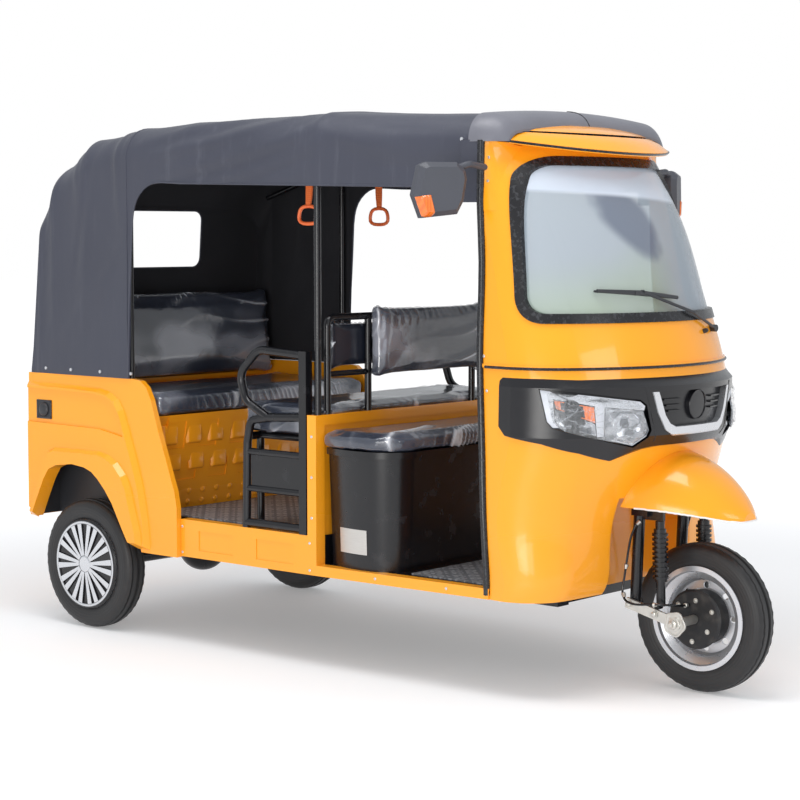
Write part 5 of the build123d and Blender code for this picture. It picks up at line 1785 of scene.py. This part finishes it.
def cab_corner(side):
    """The panel that carries the cab's side square up to the eave behind the windscreen."""
    shell = skin_of("front_upper_shell")
    panel = begin("grid", "cab_corner", x_subdivisions=16, y_subdivisions=20, size=1)
    for vert in panel.data.vertices:
        share, up = vert.co.x + 0.5, vert.co.y + 0.5
        x, z = CORNER_BACK + share * CORNER_LENGTH, CORNER_FOOT + up * CORNER_HEIGHT
        hit = shell.ray_cast(Vector((x, side * 2, z)), Vector((0, -side, 0)))[0]
        wide = cheek_side(x, z)
        fade = max(0.0, (share - 0.25) / 0.75)
        fade = fade * fade * (3 - 2 * fade)
        if hit is not None:
            wide = max(abs(hit.y) + 0.0006 - 0.0026 * fade, wide + (abs(hit.y) - 0.002 - wide) * fade)
        z -= (x - CORNER_BACK) * EAVE_TILT * up
        vert.co = Vector((x, side * wide, z))
    panel.data.update()
    modify(panel, "SOLIDIFY", thickness=CORNER_SHEET, offset=-1.0 if side > 0 else 1.0)
    return panel


def corner_flap(side):
    """Canvas buttoned from the hood's front edge to the pillar's rubber."""
    hood = skin_of("canopy")
    flap = begin("grid", "corner_flap", x_subdivisions=8, y_subdivisions=14, size=1)
    for vert in flap.data.vertices:
        share, up = vert.co.x + 0.5, vert.co.y + 0.5
        x, z = FLAP_BACK + share * FLAP_LENGTH, FLAP_FOOT + up * FLAP_HEIGHT
        back = hood.ray_cast(Vector((FLAP_BACK, side * 2, max(1.60, z))), Vector((0, -side, 0)))[0]
        start = abs(back.y) if back else 0.502
        wide = start + 0.0022 + (0.4935 - max(0.0, z - 1.74) * 0.05 - start) * share ** 1.5
        wide += 0.0016 * math.sin(share * math.pi) * math.sin(z * 60)
        vert.co = Vector((x, side * wide, z))
    flap.data.update()
    modify(flap, "SOLIDIFY", thickness=0.0022, offset=0.0)
    return flap


# ---------------------------------------------------------------- making it
place_camera()
light_studio()
lay_floor()

paint = body_paint()
coat = powder_coat()
black = moulded_black()
gloss = moulded_black("gloss_mask", (0.008, 0.008, 0.010), 0.16)
cap = cap_plastic()
silver = bright_trim()
plated = zinc()
cast = cast_metal()
vinyl = seat_vinyl()
film = clear_film()
cloth = canopy_cloth()
lining = lining_cloth()
strap = webbing()
loop = hand_loop()
rubber = seal_rubber()
mat = chequer_mat()
steel = wheel_steel()
glass = windscreen_glass()
clear = lens_glass()
mirror = mirror_glass()
red = coloured_lens("red_lens", (0.62, 0.012, 0.01))
amber = coloured_lens("amber_lens", (0.95, 0.20, 0.02))

FINISHES = (        # what each CAD piece that is only painted is finished with
    (paint, "front_fender", "front_lower_shell", "front_upper_shell", "partition", "rear_body_back",
     "rear_seat_base", "rear_side_panels", "side_sills", "wheel_well"),
    (coat, "bench_frames", "canopy_frame", "driver_seat_box", "floor_pan", "fork", "frame_crossmembers",
     "frame_rails", "front_shocks", "handlebar", "leaf_springs", "propeller_shaft", "rear_axle",
     "side_guards", "steering_head"),
    (black, "dashboard", "wheel_houses", "wiper", "handlebar_grips"),
    # the mirror housing's lighter grey is partly a painted sheen on its smooth black plastic
    (moulded_black("mirror_shell", (0.050, 0.053, 0.066), 0.44), "mirrors"),
    (gloss, "headlight_mask"),
    (cap, "roof_cap"),
    (silver, "grille_trim", "front_rim"),
    (plated, "front_links"),
    (cast, "engine_block", "brake_plate", "front_hub"),
    (steel, "rear_left_rim", "rear_right_rim"),
    (rubber, "windscreen_seal"),
    (mat, "floor_mats"),
    (glass, "windscreen_glass"),
    (red, "tail_lamps"),
    (hubcap_paint(HUBCAP_FACE_Y), "rear_left_hubcap", "rear_right_hubcap"),
)
for finish, *nodes in FINISHES:
    repaint(finish, nodes)
front_rubber = tyre_rubber(FRONT_AXLE, "front_tyre_rubber")
rear_rubber = tyre_rubber((REAR_AXLE_X, 0, TYRE_R), "rear_tyre_rubber")
tyre("front_tyre_cover", FRONT_AXLE, front_rubber, "front_wheel", "front_tyre")
for side, word in ((-1, "right"), (1, "left")):
    tyre(f"rear_{word}_tyre_cover", (REAR_AXLE_X, side * REAR_TRACK_HALF, TYRE_R), rear_rubber,
         f"rear_{word}_wheel", f"rear_{word}_tyre")
headlamps({"clear": clear, "black": gloss, "guide": light_guide(), "amber": amber,
           "reflect": lamp_reflector(), "film": lamp_wrap()})
mask_face = facing_surface("headlight_mask", FORWARD)
fit(grille_ring(mask_face), gloss)
fit(mask_joints(mask_face), rubber)
lens = mirror_lens(facing_surface("mirrors", MIRROR_AHEAD))
fit(both_sides("mirror_lenses", lens), amber)
fit(mirror_glasses(), mirror)

canopy = sew_canopy(cloth, lining)
fit(canopy, None, stands_for=("canopy",), smooth=50)
piping = fit(sew_edges(), cloth)
studs = fit(snap_studs(), silver)

for node, voxel, limit, resting in CUSHIONS:
    pad = stuff_cushion(node, voxel, limit, resting)
    away = {"-Z": (0, 0, -1), "-X": (-1, 0, 0), "+X": (1, 0, 0)}[resting[0]]
    cover = wrap_film(pad, node.replace("cushion", "pad") + "_film", away, len(node))
    fit(pad, vinyl, stands_for=(node,), smooth=180)
    fit(cover, film, smooth=180)

fit(door_seal(), rubber)
fit(body_screws(), silver)
fit(filler_plate(), black)
fit(maker_blank(), bare_plate())
webs, loops = hanging_straps(((-0.210, -0.350), (-0.495, 0.350)))
fit(webs, strap, stands_for=("hang_straps",))
fit(loops, loop)
fit(fender_trim(), white_trim())
fit(washer_nozzle(), black)
fit(cap_joint(), rubber)

fit(tilted_eave("roof_visor", "eave", (0.8, 0, 1.769), (0.6785, 0, 1.8)), paint,
    stands_for=("roof_visor",))
fit(tilted_eave("roof_lip", "eave_bead"), rubber, stands_for=("roof_lip",))
fit(waist_seal(), rubber)
fit(axle_brackets(), plated, "steering")
fit(axle_bolts(), plated, "steering")
fit(brake_pipe(), coat, "steering")
fit(pipe_clips(), plated, "steering")
fit(brake_rivets(), plated, "steering")
fit(pressed_base(), paint)
fit(wiper_blade(), black)
fit(join("cab_corners", cab_corner(-1), cab_corner(1)), paint, smooth=50)
flaps = fit(join("corner_flaps", corner_flap(-1), corner_flap(1)), cloth, smooth=50)
